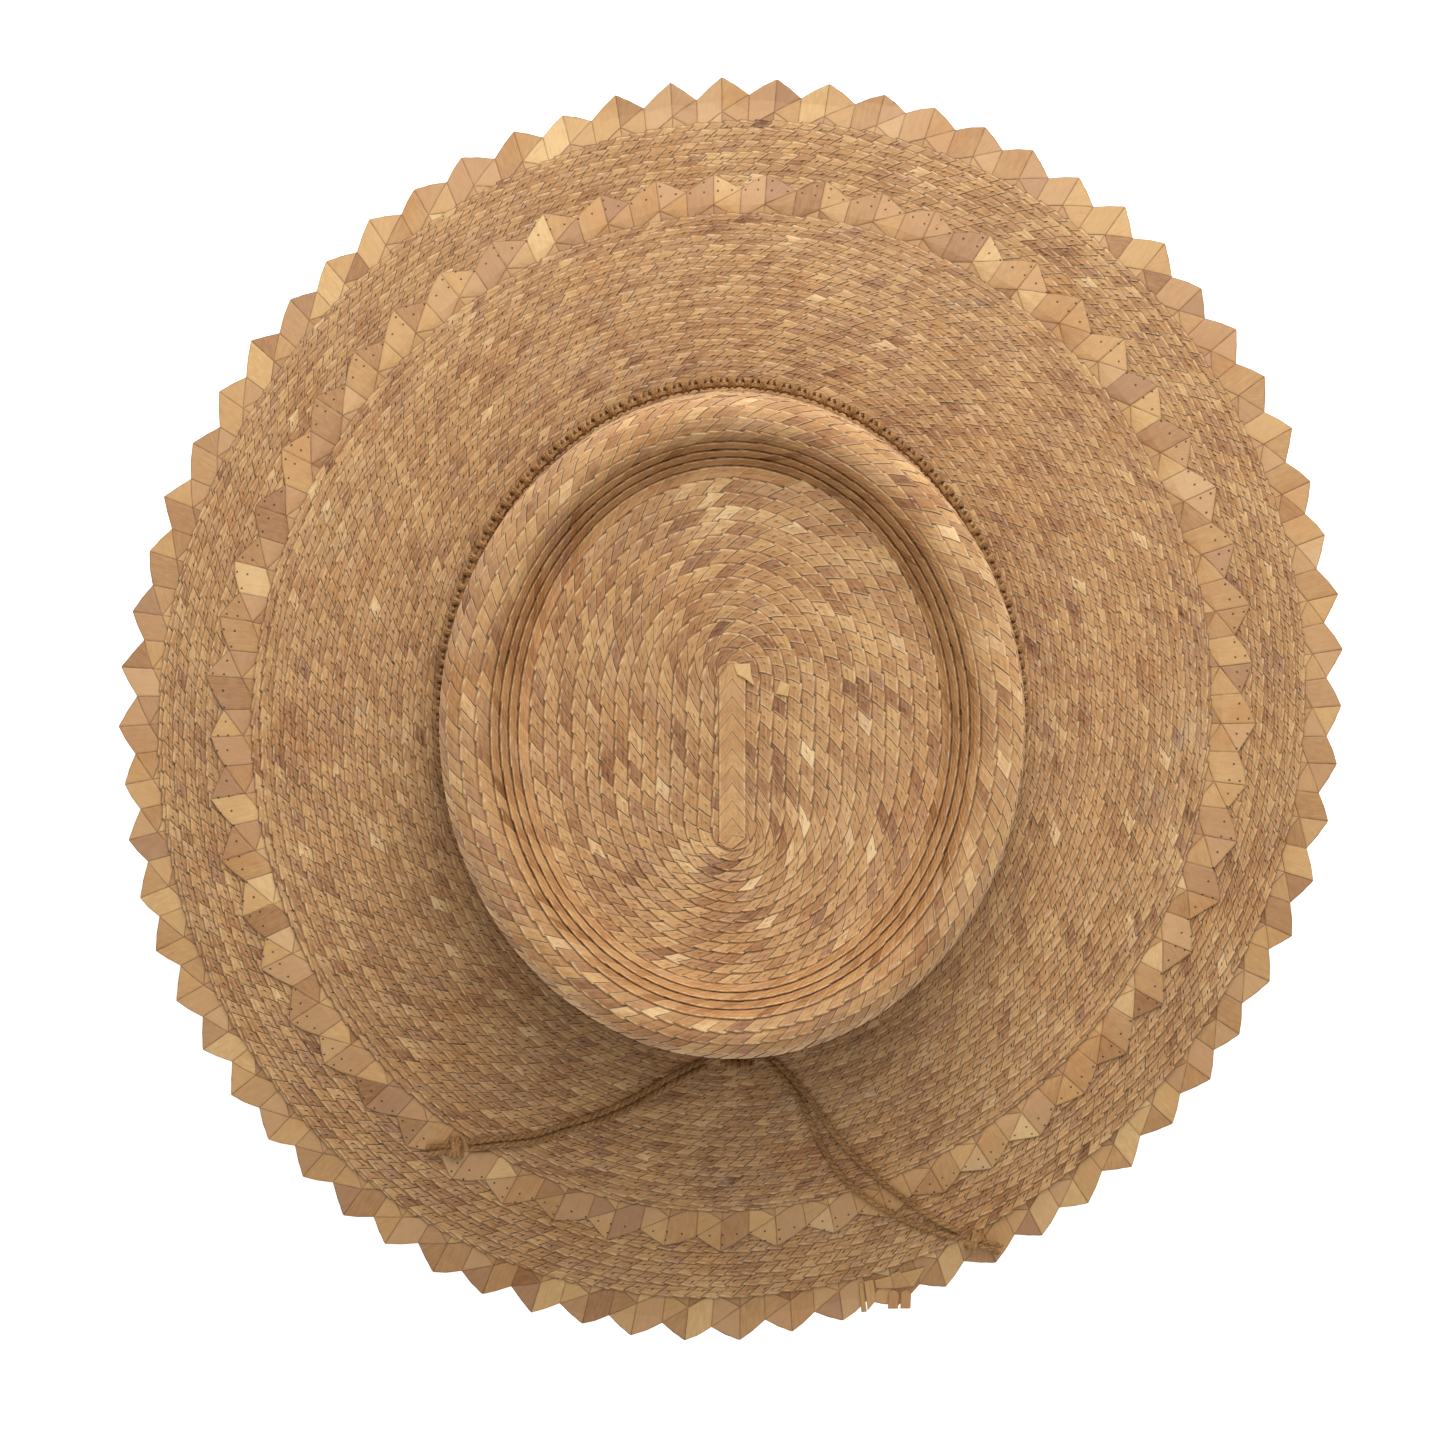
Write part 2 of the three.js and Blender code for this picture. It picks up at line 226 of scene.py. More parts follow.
def addNode(tree, kind, inputs=None, **settings):
    made = tree.nodes.new(kind)
    for key, value in settings.items():
        setattr(made, key, value)
    feed(tree, made.inputs, inputs or {})
    return made


def maths(tree, operation, a, b=0.0):
    return addNode(tree, "ShaderNodeMath", {0: a, 1: b}, operation=operation).outputs[0]


def times(tree, a, b):
    return maths(tree, "MULTIPLY", a, b)


def plus(tree, a, b):
    return maths(tree, "ADD", a, b)


def minus(tree, a, b):
    return maths(tree, "SUBTRACT", a, b)


def larger(tree, a, b):
    return maths(tree, "MAXIMUM", a, b)


# turns a value from 0 to 1 into a swing to either side of none
def swing(tree, value, amount):
    return times(tree, minus(tree, value, 0.5), amount)


# a soft step: start below low, end above high
def band(tree, value, low, high, start=0.0, end=1.0):
    return addNode(tree, "ShaderNodeMapRange", {0: value, 1: low, 2: high, 3: start, 4: end},
                   interpolation_type="SMOOTHSTEP").outputs[0]


def noise(tree, vector, scale, detail=2.0, roughness=0.55):
    return addNode(tree, "ShaderNodeTexNoise", {"Vector": vector, "Scale": scale, "Detail": detail,
                                                "Roughness": roughness}).outputs["Fac"]


def stretched(tree, vector, scale, location=(0, 0, 0)):
    return addNode(tree, "ShaderNodeMapping",
                   {"Vector": vector, "Location": location, "Scale": scale}).outputs["Vector"]


def mixed(tree, factor, a, b, blend="MIX"):
    return addNode(tree, "ShaderNodeMix", {0: factor, 6: a, 7: b}, data_type="RGBA",
                   blend_type=blend).outputs[2]


def uvMap(tree, name):
    return addNode(tree, "ShaderNodeUVMap", uv_map=name).outputs[0]


def shadeNamed(tree, name):
    return addNode(tree, "ShaderNodeAttribute", attribute_name=name).outputs["Fac"]


def objectPlace(tree):
    return addNode(tree, "ShaderNodeTexCoord").outputs["Object"]


def colour(red, green, blue):
    def linear(value):
        value /= 255
        return value / 12.92 if value <= 0.04045 else ((value + 0.055) / 1.055) ** 2.4
    return (linear(red), linear(green), linear(blue), 1.0)


def newGroup(name, inputs, outputs):
    group = bpy.data.node_groups.new(name, "ShaderNodeTree")
    for kind, label, value in inputs:
        socket = group.interface.new_socket(name=label, in_out="INPUT", socket_type=kind)
        if value is not None:
            socket.default_value = value
    for kind, label in outputs:
        group.interface.new_socket(name=label, in_out="OUTPUT", socket_type=kind)
    entry = group.nodes.new("NodeGroupInput")
    leave = group.nodes.new("NodeGroupOutput")
    return group, entry.outputs, leave.inputs


def placeGroup(tree, group, inputs):
    return addNode(tree, "ShaderNodeGroup", inputs, node_tree=group).outputs


def setRamp(node, stops):
    ramp = node.color_ramp
    while len(ramp.elements) > 1:
        ramp.elements.remove(ramp.elements[-1])
    ramp.elements[0].position, ramp.elements[0].color = stops[0]
    for position, value in stops[1:]:
        ramp.elements.new(position).color = value


def ramped(tree, value, stops):
    made = addNode(tree, "ShaderNodeValToRGB", {0: value})
    setRamp(made, stops)
    return made.outputs[0]


# stretch and shift of each layer of a dry leaf, and how strongly it colours
leafLook = {
    "streak": ((0.14, 1.5, 1), (0, 0, 0)),
    "fibre": ((0.22, 4.4, 1), (7.3, 2.1, 0)),
    "blotch": ((0.3, 0.5, 1), (3.1, 8.2, 0)),
    "fleck": ((1.1, 2.6, 1), (1.7, 5.2, 0)),
    "blotchTone": 0.36,
    "fibreTone": 0.36,
    "streakRelief": 0.7,
    "fibreRelief": 0.5,
    "fleckRange": (0.66, 0.78),
}


# streaks along the strand, blotches and fine fibre relief; the vector is in millimetres
def makeLeafGrain():
    look = leafLook
    group, given, out = newGroup("leafGrain", [
        ("NodeSocketVector", "Grain", None),
        ("NodeSocketFloat", "Tone", 0.5),
        ("NodeSocketFloat", "Streaks", 0.3),
    ], [("NodeSocketFloat", "Tone"), ("NodeSocketFloat", "Height"), ("NodeSocketFloat", "Fleck")])

    def layer(name, detail=2.0, roughness=0.55):
        return noise(group, stretched(group, given["Grain"], *look[name]), 1.0, detail, roughness)

    streak = layer("streak", 3.0, 0.62)
    fibre = layer("fibre")
    blotch = layer("blotch")
    fleck = layer("fleck", 1.0)
    streaked = plus(group, given["Tone"], swing(group, streak, given["Streaks"]))
    spotted = plus(group, swing(group, blotch, look["blotchTone"]), swing(group, fibre, look["fibreTone"]))
    group.links.new(plus(group, streaked, spotted), out["Tone"])
    height = plus(group, times(group, streak, look["streakRelief"]), times(group, fibre, look["fibreRelief"]))
    group.links.new(height, out["Height"])
    group.links.new(band(group, fleck, *look["fleckRange"]), out["Fleck"])
    return group


# marks, painted shade and painted highlights of the narrow plait; widths along it are shares of a crossing,
# those across it of half its width
markLook = {
    "line": (0.405, 0.478),      # where the painted shade line at a crossing's edge begins and is full
    "seamShadow": (0.20, 0.03),        # painted shadow beside the row that lies over this one
    "rim": (0.975, 0.995),       # painted shade along the row's own outer edge
    "rimDark": 0.5,
    "paleFrom": (0.80, 0.90),    # painted highlight along that edge
    "paleTo": (0.985, 0.95),
    "paleStart": (0.0, 0.05),    # and painted highlight at the beginning of a crossing
    "paleStop": (0.16, 0.07),
    "hole": (0.060, 0.120),      # a needle hole, along and across
    "holeEdge": (1.2, 0.5),
    "pull": (3.2, 0.8),          # the dent round it
    "pullDepth": 0.35,
    "fold": (0.060, 0.020),      # half width of the painted shade line along a crossing's fold
    "foldLevel": (0.40, 0.16),   # its lowest place and how much that varies
    "foldLean": 0.16,
    # painted highlight beside the fold line, and how far it lies from it
    "foldPale": (0.070, 0.020),
    "foldPaleStep": 0.115,
    "foldEnds": (0.47, 0.36),
    "waves": 17.0,               # fine creases, painted as shade lines and highlight lines
    "creases": 0.3,
    "ridges": 0.42,
}


# painted shadow at the seams, painted shade at the crossings' edges, folds and fine creases, painted
# highlights along edges and ridges, and the needle holes of the narrow plait; the vector counts crossings and
# half widths
def makePlaitMarks():
    look = markLook
    group, given, out = newGroup("plaitMarks", [
        ("NodeSocketVector", "Plait", None),
        ("NodeSocketFloat", "CrossingShade", 1.0),
        ("NodeSocketFloat", "Hole", 1.0),
        ("NodeSocketFloat", "Seam", 1.0),
        ("NodeSocketFloat", "Lines", 0.3),
    ], [("NodeSocketFloat", "Dark"), ("NodeSocketFloat", "Light"), ("NodeSocketFloat", "Height"),
        ("NodeSocketFloat", "Chance")])

    def within(value, low, high=None):
        return band(group, value, *look[low]) if high is None else times(
            group, band(group, value, *look[low]), band(group, value, *look[high]))

    parts = addNode(group, "ShaderNodeSeparateXYZ", {0: given["Plait"]}).outputs
    cell = maths(group, "FLOOR", parts[0])
    share = maths(group, "FRACT", parts[0])
    across = parts[1]
    dice = addNode(group, "ShaderNodeTexWhiteNoise", {"W": cell}, noise_dimensions="1D").outputs
    chances = addNode(group, "ShaderNodeSeparateColor", {0: dice["Color"]}).outputs
    wobble = noise(group, stretched(group, given["Plait"], (2.2, 1.2, 1)), 1.0, 2.0)
    uneven = band(group, wobble, 0.34, 0.56, 0.45, 1.0)
    side = maths(group, "ABSOLUTE", minus(group, share, 0.5))
    # painted shade along each crossing's edge
    crossingShade = times(group, times(group, within(side, "line"), uneven), given["CrossingShade"])
    # painted shadow beside the row that lies over this one
    seamShadow = times(group, within(across, "seamShadow"), given["Seam"])
    seamShadow = times(group, seamShadow, band(group, wobble, 0.30, 0.60, 1.0, 0.65))
    # painted shade along the row's own outer edge
    rimLine = times(group, within(across, "rim"), look["rimDark"])
    centre = plus(group, 0.30, times(group, chances[0], 0.4))
    middle = plus(group, 0.36, times(group, chances[1], 0.28))
    dx = maths(group, "DIVIDE", minus(group, share, centre), look["hole"][0])
    dy = maths(group, "DIVIDE", minus(group, across, middle), look["hole"][1])
    reach = maths(group, "SQRT", plus(group, times(group, dx, dx), times(group, dy, dy)))
    hole = times(group, within(reach, "holeEdge"), given["Hole"])
    phase = plus(group, times(group, chances[2], 6.0), times(group, wobble, 4.0))
    wave = maths(group, "SINE", plus(group, times(group, across, look["waves"]), phase))
    lowest, spread = look["foldLevel"]
    level = plus(group, lowest, times(group, chances[1], spread))
    fold = plus(group, minus(group, across, level), swing(group, share, look["foldLean"]))
    whole = times(group, within(side, "foldEnds"), band(group, wobble, 0.32, 0.50, 0.35, 1.0))

    def drawn(waveLow, waveHigh, strength, distance, width):
        fine = times(group, band(group, wave, waveLow, waveHigh), strength)
        line = times(group, within(maths(group, "ABSOLUTE", distance), width), whole)
        return times(group, larger(group, fine, line), given["Lines"])

    # painted shade in the creases and painted highlight on the ridges beside them
    crease = drawn(0.35, 0.95, look["creases"], fold, "fold")
    ridge = drawn(-0.35, -0.95, look["ridges"], minus(group, fold, look["foldPaleStep"]), "foldPale")
    # Dark: painted shade and the needle holes
    dark = larger(group, larger(group, crossingShade, seamShadow), larger(group, hole, larger(group, rimLine, crease)))
    group.links.new(dark, out["Dark"])
    # Light: painted highlight along the row's outer edge, at each crossing's start and on the ridges
    pale = times(group, within(across, "paleFrom", "paleTo"), band(group, wobble, 0.40, 0.62))
    pale = larger(group, pale, times(group, within(share, "paleStart", "paleStop"), uneven))
    group.links.new(larger(group, pale, ridge), out["Light"])
    group.links.new(chances[1], out["Chance"])
    pull = times(group, within(reach, "pull"), look["pullDepth"])
    group.links.new(minus(group, 1.0, larger(group, dark, pull)), out["Height"])
    return group


# handling marks and grey bloom that lie over whole areas of the hat
def makeWear():
    group, given, out = newGroup("wornStraw", [
        ("NodeSocketColor", "Colour", (0.5, 0.5, 0.5, 1)),
        ("NodeSocketVector", "Place", None),
        ("NodeSocketFloat", "Bloom", 0.5),
    ], [("NodeSocketColor", "Colour")])
    broad = noise(group, given["Place"], 22.0, 3.0)
    small = noise(group, given["Place"], 160.0, 2.0)
    bloom = times(group, band(group, broad, 0.52, 0.72), band(group, small, 0.45, 0.75))
    grey = mixed(group, times(group, bloom, given["Bloom"]), given["Colour"], colour(196, 168, 140))
    warm = band(group, noise(group, given["Place"], 38.0, 2.0), 0.45, 0.75)
    warmed = mixed(group, times(group, warm, 0.30), grey, colour(226, 178, 120), "MULTIPLY")
    group.links.new(warmed, out["Colour"])
    return group


leafGrain = makeLeafGrain()
plaitMarks = makePlaitMarks()
wornStraw = makeWear()


def startMaterial(name, roughness):
    material = bpy.data.materials.new(name)
    material.use_nodes = True
    tree = material.node_tree
    shader = tree.nodes["Principled BSDF"]
    shader.inputs["Roughness"].default_value = roughness
    shader.inputs["Specular IOR Level"].default_value = 0.3
    return material, tree, shader


# joins a colour, a height for the relief and a height that makes the surface rougher to the shader
def coat(tree, shader, paint, height, strength, depth, rough, roughRange):
    tree.links.new(paint, shader.inputs["Base Color"])
    tree.links.new(band(tree, rough, *roughRange), shader.inputs["Roughness"])
    bump = addNode(tree, "ShaderNodeBump", {"Height": height, "Strength": strength, "Distance": depth})
    tree.links.new(bump.outputs[0], shader.inputs["Normal"])


strawRamps = {
    "sewn": [
        (0.0, colour(118, 76, 48)), (0.22, colour(158, 108, 72)), (0.42, colour(184, 134, 88)),
        (0.62, colour(203, 154, 101)), (0.82, colour(220, 174, 118)), (1.0, colour(244, 208, 156)),
    ],
    # darker than the sewn straw: painted shade of the sunk ring
    "recess": [
        (0.0, colour(114, 72, 40)), (0.35, colour(174, 120, 72)), (0.6, colour(204, 149, 95)),
        (1.0, colour(226, 180, 122)),
    ],
    "wide": [
        (0.0, colour(156, 109, 72)), (0.3, colour(188, 142, 95)), (0.55, colour(208, 162, 108)),
        (0.8, colour(220, 177, 119)), (1.0, colour(234, 196, 140)),
    ],
    "splice": [
        (0.0, colour(150, 100, 60)), (0.5, colour(190, 140, 90)), (1.0, colour(212, 168, 118)),
    ],
}


def makeSewnStraw(name, ramp, crossingShade, hole, seamShadow, lines, streaks, bloom, relief, depth):
    material, tree, shader = startMaterial(name, 0.6)
    place = objectPlace(tree)
    patch = swing(tree, noise(tree, place, 55.0, 2.0), 0.42)
    grain = placeGroup(tree, leafGrain, {"Grain": uvMap(tree, "grain"), "Streaks": streaks,
                                         "Tone": plus(tree, shadeNamed(tree, "tone"), patch)})
    marks = placeGroup(tree, plaitMarks, {"Plait": uvMap(tree, "plait"), "CrossingShade": crossingShade, "Hole": hole,
                                          "Seam": seamShadow, "Lines": lines})
    strand = ramped(tree, grain["Tone"], strawRamps[ramp])
    worn = placeGroup(tree, wornStraw, {"Colour": strand, "Place": place, "Bloom": bloom})["Colour"]
    cool = mixed(tree, band(tree, marks["Chance"], 0.55, 1.0, 0.0, 0.32), worn, colour(194, 150, 118))
    # painted highlights, then painted shade with the needle holes, over the straw's own colour
    lit = mixed(tree, times(tree, marks["Light"], 0.55), cool, colour(244, 214, 164))
    dark = mixed(tree, times(tree, marks["Dark"], depth), lit, colour(78, 46, 28))
    fleck = mixed(tree, times(tree, grain["Fleck"], 0.35), dark, colour(126, 86, 54))
    height = plus(tree, times(tree, grain["Height"], 0.28), marks["Height"])
    coat(tree, shader, fleck, height, relief, 0.00035, grain["Height"], (0.3, 0.9, 0.5, 0.7))
    return material


# facets of the toothed plaits and the splice: "rim" is 1 on a facet's border, where crease shade is painted
def makeWideStraw(name, ramp, holes):
    material, tree, shader = startMaterial(name, 0.5)
    tone = shadeNamed(tree, "tone")
    rim = shadeNamed(tree, "rim")
    place = objectPlace(tree)
    grain = placeGroup(tree, leafGrain, {"Grain": uvMap(tree, "grain"), "Tone": tone, "Streaks": 0.42})
    strand = ramped(tree, grain["Tone"], strawRamps[ramp])
    worn = placeGroup(tree, wornStraw, {"Colour": strand, "Place": place, "Bloom": 0.35})["Colour"]
    chance = addNode(tree, "ShaderNodeTexWhiteNoise", {"W": times(tree, tone, 97.0)},
                     noise_dimensions="1D").outputs["Value"]
    cool = mixed(tree, band(tree, chance, 0.35, 1.0, 0.0, 0.5), worn, colour(204, 160, 122))
    # painted crease shade along each facet's border, in broken lines, and a little over the whole border
    breaks = band(tree, noise(tree, place, 300.0, 2.0), 0.3, 0.6, 0.4, 1.0)
    line = times(tree, band(tree, rim, 0.55, 0.98), breaks)
    edge = plus(tree, times(tree, line, 0.58), times(tree, rim, 0.14))
    shade = mixed(tree, edge, cool, colour(104, 68, 40))
    height = times(tree, grain["Height"], 0.4)
    if holes:
        parts = addNode(tree, "ShaderNodeSeparateXYZ", {0: uvMap(tree, "plait")}).outputs
        dx = maths(tree, "DIVIDE", minus(tree, maths(tree, "FRACT", parts[0]), 0.5), 0.075)
        depth = plus(tree, parts[1], swing(tree, noise(tree, place, 60.0, 1.0), 1.6))
        rows = []
        for row in (-5.7, -2.3):  # millimetres in from the tips
            dy = maths(tree, "DIVIDE", minus(tree, depth, row), 0.36)
            rows.append(band(tree, plus(tree, times(tree, dx, dx), times(tree, dy, dy)), 1.5, 0.3))
        hole = larger(tree, *rows)
        shade = mixed(tree, times(tree, hole, 0.85), shade, colour(66, 40, 24))
        height = minus(tree, height, hole)
    coat(tree, shader, shade, height, 0.5, 0.0003, grain["Height"], (0.3, 0.9, 0.42, 0.62))
    return material


def makeCordFibre():
    material, tree, shader = startMaterial("cordFibre", 0.85)
    place = objectPlace(tree)
    fibre = noise(tree, place, 1500.0, 3.0, 0.65)
    tone = plus(tree, times(tree, fibre, 0.75), times(tree, noise(tree, place, 140.0, 2.0), 0.3))
    paint = ramped(tree, tone, [(0.25, colour(104, 70, 38)), (0.48, colour(150, 109, 67)),
                                (0.62, colour(184, 140, 90)), (0.85, colour(222, 180, 124))])
    coat(tree, shader, paint, fibre, 0.6, 0.0003, fibre, (0.3, 0.7, 0.75, 0.95))
    return material


def makeCotton():
    material, tree, shader = startMaterial("bandCotton", 0.85)
    parts = addNode(tree, "ShaderNodeSeparateXYZ", {0: uvMap(tree, "weave")}).outputs
    rows = []
    for axis, turn in ((0, 0.0), (1, 1.57)):
        wave = maths(tree, "SINE", plus(tree, times(tree, parts[axis], 7.8), turn))
        rows.append(band(tree, wave, -1.0, 1.0))
    weave = times(tree, *rows)
    stain = noise(tree, objectPlace(tree), 45.0, 3.0)
    tone = plus(tree, times(tree, weave, 0.35), times(tree, stain, 0.6))
    paint = ramped(tree, tone, [(0.15, colour(186, 164, 128)), (0.5, colour(222, 206, 172)),
                                (0.9, colour(238, 228, 202))])
    coat(tree, shader, paint, weave, 0.5, 0.0002, stain, (0.3, 0.7, 0.8, 0.95))
    return material


# how strongly each part of the plait shows its marks, painted shade and painted highlights
sewnLooks = {
    "crown": {"ramp": "sewn", "crossingShade": 1.0, "hole": 0.6, "seamShadow": 0.85, "lines": 0.16,
              "streaks": 0.62, "bloom": 0.15, "relief": 0.9, "depth": 0.88},
    "rim": {"ramp": "sewn", "crossingShade": 1.0, "hole": 0.3, "seamShadow": 0.6, "lines": 0.12,
            "streaks": 0.50, "bloom": 0.3, "relief": 0.8, "depth": 0.78},
    "brim": {"ramp": "sewn", "crossingShade": 0.90, "hole": 1.0, "seamShadow": 1.0, "lines": 0.40,
             "streaks": 0.66, "bloom": 0.5, "relief": 1.0, "depth": 0.86},
    "recess": {"ramp": "recess", "crossingShade": 0.3, "hole": 0.2, "seamShadow": 1.0, "lines": 0.2,
               "streaks": 0.70, "bloom": 0.0, "relief": 0.8, "depth": 0.92},
    "starter": {"ramp": "sewn", "crossingShade": 0.7, "hole": 0.35, "seamShadow": 0.0, "lines": 0.1,
                "streaks": 0.5, "bloom": 0.0, "relief": 0.7, "depth": 0.72},
}
finish = {part: makeSewnStraw(part + "Straw", **look) for part, look in sewnLooks.items()}
for part, ramp in (("band", "wide"), ("edge", "wide"), ("splice", "splice")):
    finish[part] = makeWideStraw(part + "Straw", ramp, holes=part == "band")
finish["cord"] = makeCordFibre()
finish["cotton"] = makeCotton()
print("materials made")


def clearSelection():
    if bpy.context.mode != "OBJECT":
        bpy.ops.object.mode_set(mode="OBJECT")
    bpy.ops.object.select_all(action="DESELECT")


def useOnly(piece):
    clearSelection()
    piece.select_set(True)
    bpy.context.view_layer.objects.active = piece


def applyModifier(piece, kind, **settings):
    useOnly(piece)
    modifier = piece.modifiers.new(kind.lower(), kind)
    for key, value in settings.items():
        setattr(modifier, key, value)
    bpy.ops.object.modifier_apply(modifier=modifier.name)


def repeatAlong(piece, count, step):
    applyModifier(piece, "ARRAY", count=count, use_relative_offset=False, use_constant_offset=True,
                  constant_offset_displace=(step, 0, 0))


# runs each job in edit mode on everything
def editAll(piece, *jobs):
    useOnly(piece)
    bpy.ops.object.mode_set(mode="EDIT")
    for job in jobs:
        bpy.ops.mesh.select_all(action="SELECT")
        job()
    bpy.ops.object.mode_set(mode="OBJECT")


def faceOutward():
    bpy.ops.mesh.normals_make_consistent(inside=False)


def twin(piece):
    made = piece.copy()
    made.data = piece.data.copy()
    bpy.context.collection.objects.link(made)
    return made


def runningLength(places):
    return np.concatenate([[0], np.cumsum(np.linalg.norm(np.diff(places, axis=0), axis=1))])


def joinPieces(pieces, name):
    clearSelection()
    for piece in pieces:
        piece.select_set(True)
    bpy.context.view_layer.objects.active = pieces[0]
    if len(pieces) > 1:
        bpy.ops.object.join()
    pieces[0].name = name
    return pieces[0]


def cornersOf(piece):
    places = np.empty(len(piece.data.vertices) * 3)
    piece.data.vertices.foreach_get("co", places)
    return places.reshape(-1, 3)


def setCorners(piece, places):
    piece.data.vertices.foreach_set("co", np.ascontiguousarray(places, dtype=np.float32).ravel())
    piece.data.update()


def loopCorners(piece):
    index = np.empty(len(piece.data.loops), dtype=np.int32)
    piece.data.loops.foreach_get("vertex_index", index)
    return index


def setMap(piece, name, values):
    layer = piece.data.uv_layers.get(name) or piece.data.uv_layers.new(name=name)
    layer.data.foreach_set("uv", np.ascontiguousarray(values, dtype=np.float32).ravel())


def setShade(piece, name, domain, values):
    layer = piece.data.attributes.new(name, "FLOAT", domain)
    layer.data.foreach_set("value", np.ascontiguousarray(values, dtype=np.float32))


def finishPiece(piece, name, material, body, nodes=(), smooth=None):
    piece.name = name
    piece.data.name = name
    piece.data.materials.clear()
    piece.data.materials.append(material)
    useOnly(piece)
    if smooth is None:
        bpy.ops.object.shade_flat()
    else:
        bpy.ops.object.shade_smooth_by_angle(angle=math.radians(smooth))
    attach(piece, body)
    if nodes:
        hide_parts(*nodes)
    return piece


# cords: the four strands of the tails
tailCord = {
    "diameter": 0.0018,
    "plyRadius": 0.00065,
    "plyOffset": 0.00050,
    "twist": 0.0052,     # length of one full twist
    "stepsPerTwist": 8,
    "plyCorners": 6,
    "overTop": 0.00270,  # middle of the cord over the brim's mid-surface
}
# where each strand runs, seen from above, from the tie to its end knot, in millimetres
strandRoutes = {
    "tail_left_a": [(-9.4, -113.1), (-14.5, -115.5), (-20.8, -119.0), (-26.8, -122.7), (-32.7, -126.3),
                    (-38.1, -129.0), (-46.5, -132.5), (-54.8, -135.1), (-60.4, -137.2), (-65.4, -138.8),
                    (-72.2, -139.9), (-79.1, -140.6), (-87.4, -141.9)],
    "tail_left_b": [(-8.3, -115.1), (-13.5, -117.6), (-19.6, -121.0), (-25.6, -124.7), (-31.5, -128.3),
                    (-37.1, -131.2), (-45.7, -134.8), (-54.0, -137.4), (-59.8, -139.5), (-65.0, -141.1),
                    (-72.0, -142.2), (-78.8, -142.9), (-87.0, -144.2)],
    "tail_right_a": [(13.8, -112.6), (20.4, -119.7), (26.4, -126.8), (32.4, -136.1), (38.3, -143.7),
                     (45.6, -151.3), (53.5, -158.3), (61.3, -164.2), (68.6, -169.3), (76.6, -173.5)],
    "tail_right_b": [(11.2, -112.8), (16.9, -118.8), (22.2, -126.1), (26.4, -134.8), (30.6, -143.6),
                     (36.1, -152.4), (43.3, -159.5), (51.8, -165.9), (60.2, -169.9), (67.5, -173.1),
                     (76.0, -175.8)],
}
endKnots = {
    "tail_left_knot": {"x": -91.4, "y": -143.6, "bearing": 0.12},
    "tail_right_knot": {"x": 81.2, "y": -176.4, "bearing": -0.35},
}
# a wrap's place along the knot and its lean; a wrap's reach along, across and up
endKnotLook = {
    "wraps": ((-0.0010, 0.35), (0.0011, -0.30)),
    "reach": (0.0016, 0.0031, 0.00165),
    "rise": 0.0014,       # of the knot's middle over a strand's
    "plyOffset": 0.00044,
    "plyRadius": 0.00060,
    "cutEnd": 0.0088,
}
tieKnotLook = {
    "wraps": ((-0.0030, 0.4), (-0.0008, -0.25), (0.0014, 0.3), (0.0034, -0.35)),
    "reach": (0.0012, 0.0012, 0.0016),
    "length": 0.0055,
    "plyOffset": 0.0004,
    "plyRadius": 0.0005,
}
knotCord = {"radius": 0.0009, "corners": 8, "twist": 0.0046, "plyCorners": 6, "stepsPerTwist": 8}


def lyingHeight(x, y):
    return brimLevel(x, y) + tailCord["overTop"]


# the same curve as the solids follow: centripetal, through every point
def smoothRoute(points, count):
    points = [Vector(p) for p in points]
    padded = [2 * points[0] - points[1], *points, 2 * points[-1] - points[-2]]
    route = []
    for i in range(len(points) - 1):
        a, b, c, d = padded[i:i + 4]
        t1 = (b - a).length ** 0.5
        t2 = t1 + (c - b).length ** 0.5
        t3 = t2 + (d - c).length ** 0.5
        for j in range(count):
            t = t1 + (t2 - t1) * j / count
            ab = a.lerp(b, t / t1)
            bc = b.lerp(c, (t - t1) / (t2 - t1))
            cd = c.lerp(d, (t - t2) / (t3 - t2))
            abc = ab.lerp(bc, t / t2)
            bcd = bc.lerp(cd, (t - t1) / (t3 - t1))
            route.append(abc.lerp(bcd, (t - t1) / (t2 - t1)))
    route.append(points[-1])
    return route


def evenRoute(points, step):
    places = np.array([tuple(p) for p in points])
    lengths = runningLength(places)
    count = max(3, int(round(lengths[-1] / step)) + 1)
    wanted = np.linspace(0, lengths[-1], count)
    return np.stack([np.interp(wanted, lengths, places[:, i]) for i in range(3)], 1), wanted


def tubeAlong(places, radius, corners, closed=False):
    data = bpy.data.curves.new("run", "CURVE")
    data.dimensions = "3D"
    data.bevel_depth = radius
    data.bevel_resolution = max(0, corners // 2 - 2)
    data.use_fill_caps = not closed
    spline = data.splines.new("POLY")
    spline.points.add(len(places) - 1)
    spline.points.foreach_set("co", np.concatenate([places, np.ones((len(places), 1))], 1).ravel())
    spline.use_cyclic_u = closed
    run = bpy.data.objects.new("run", data)
    bpy.context.collection.objects.link(run)
    useOnly(run)
    bpy.ops.object.convert(target="MESH")
    return bpy.context.object


def laidCord(points, twist, offset, radius, corners, stepsPerTwist, phase=0.0):
    places, along = evenRoute(points, twist / stepsPerTwist)
    forward = np.gradient(places, axis=0)
    forward /= np.linalg.norm(forward, axis=1)[:, None]
    side = np.cross(forward, np.array([0.0, 0.0, 1.0]))
    side /= np.maximum(np.linalg.norm(side, axis=1)[:, None], 1e-9)
    over = np.cross(side, forward)
    runs = []
    for ply in (0, 0.5):
        angle = (phase + ply + along / twist) * fullTurn
        shifted = places + offset * (np.cos(angle)[:, None] * side + np.sin(angle)[:, None] * over)
        runs.append(tubeAlong(shifted, radius, corners))
    return runs


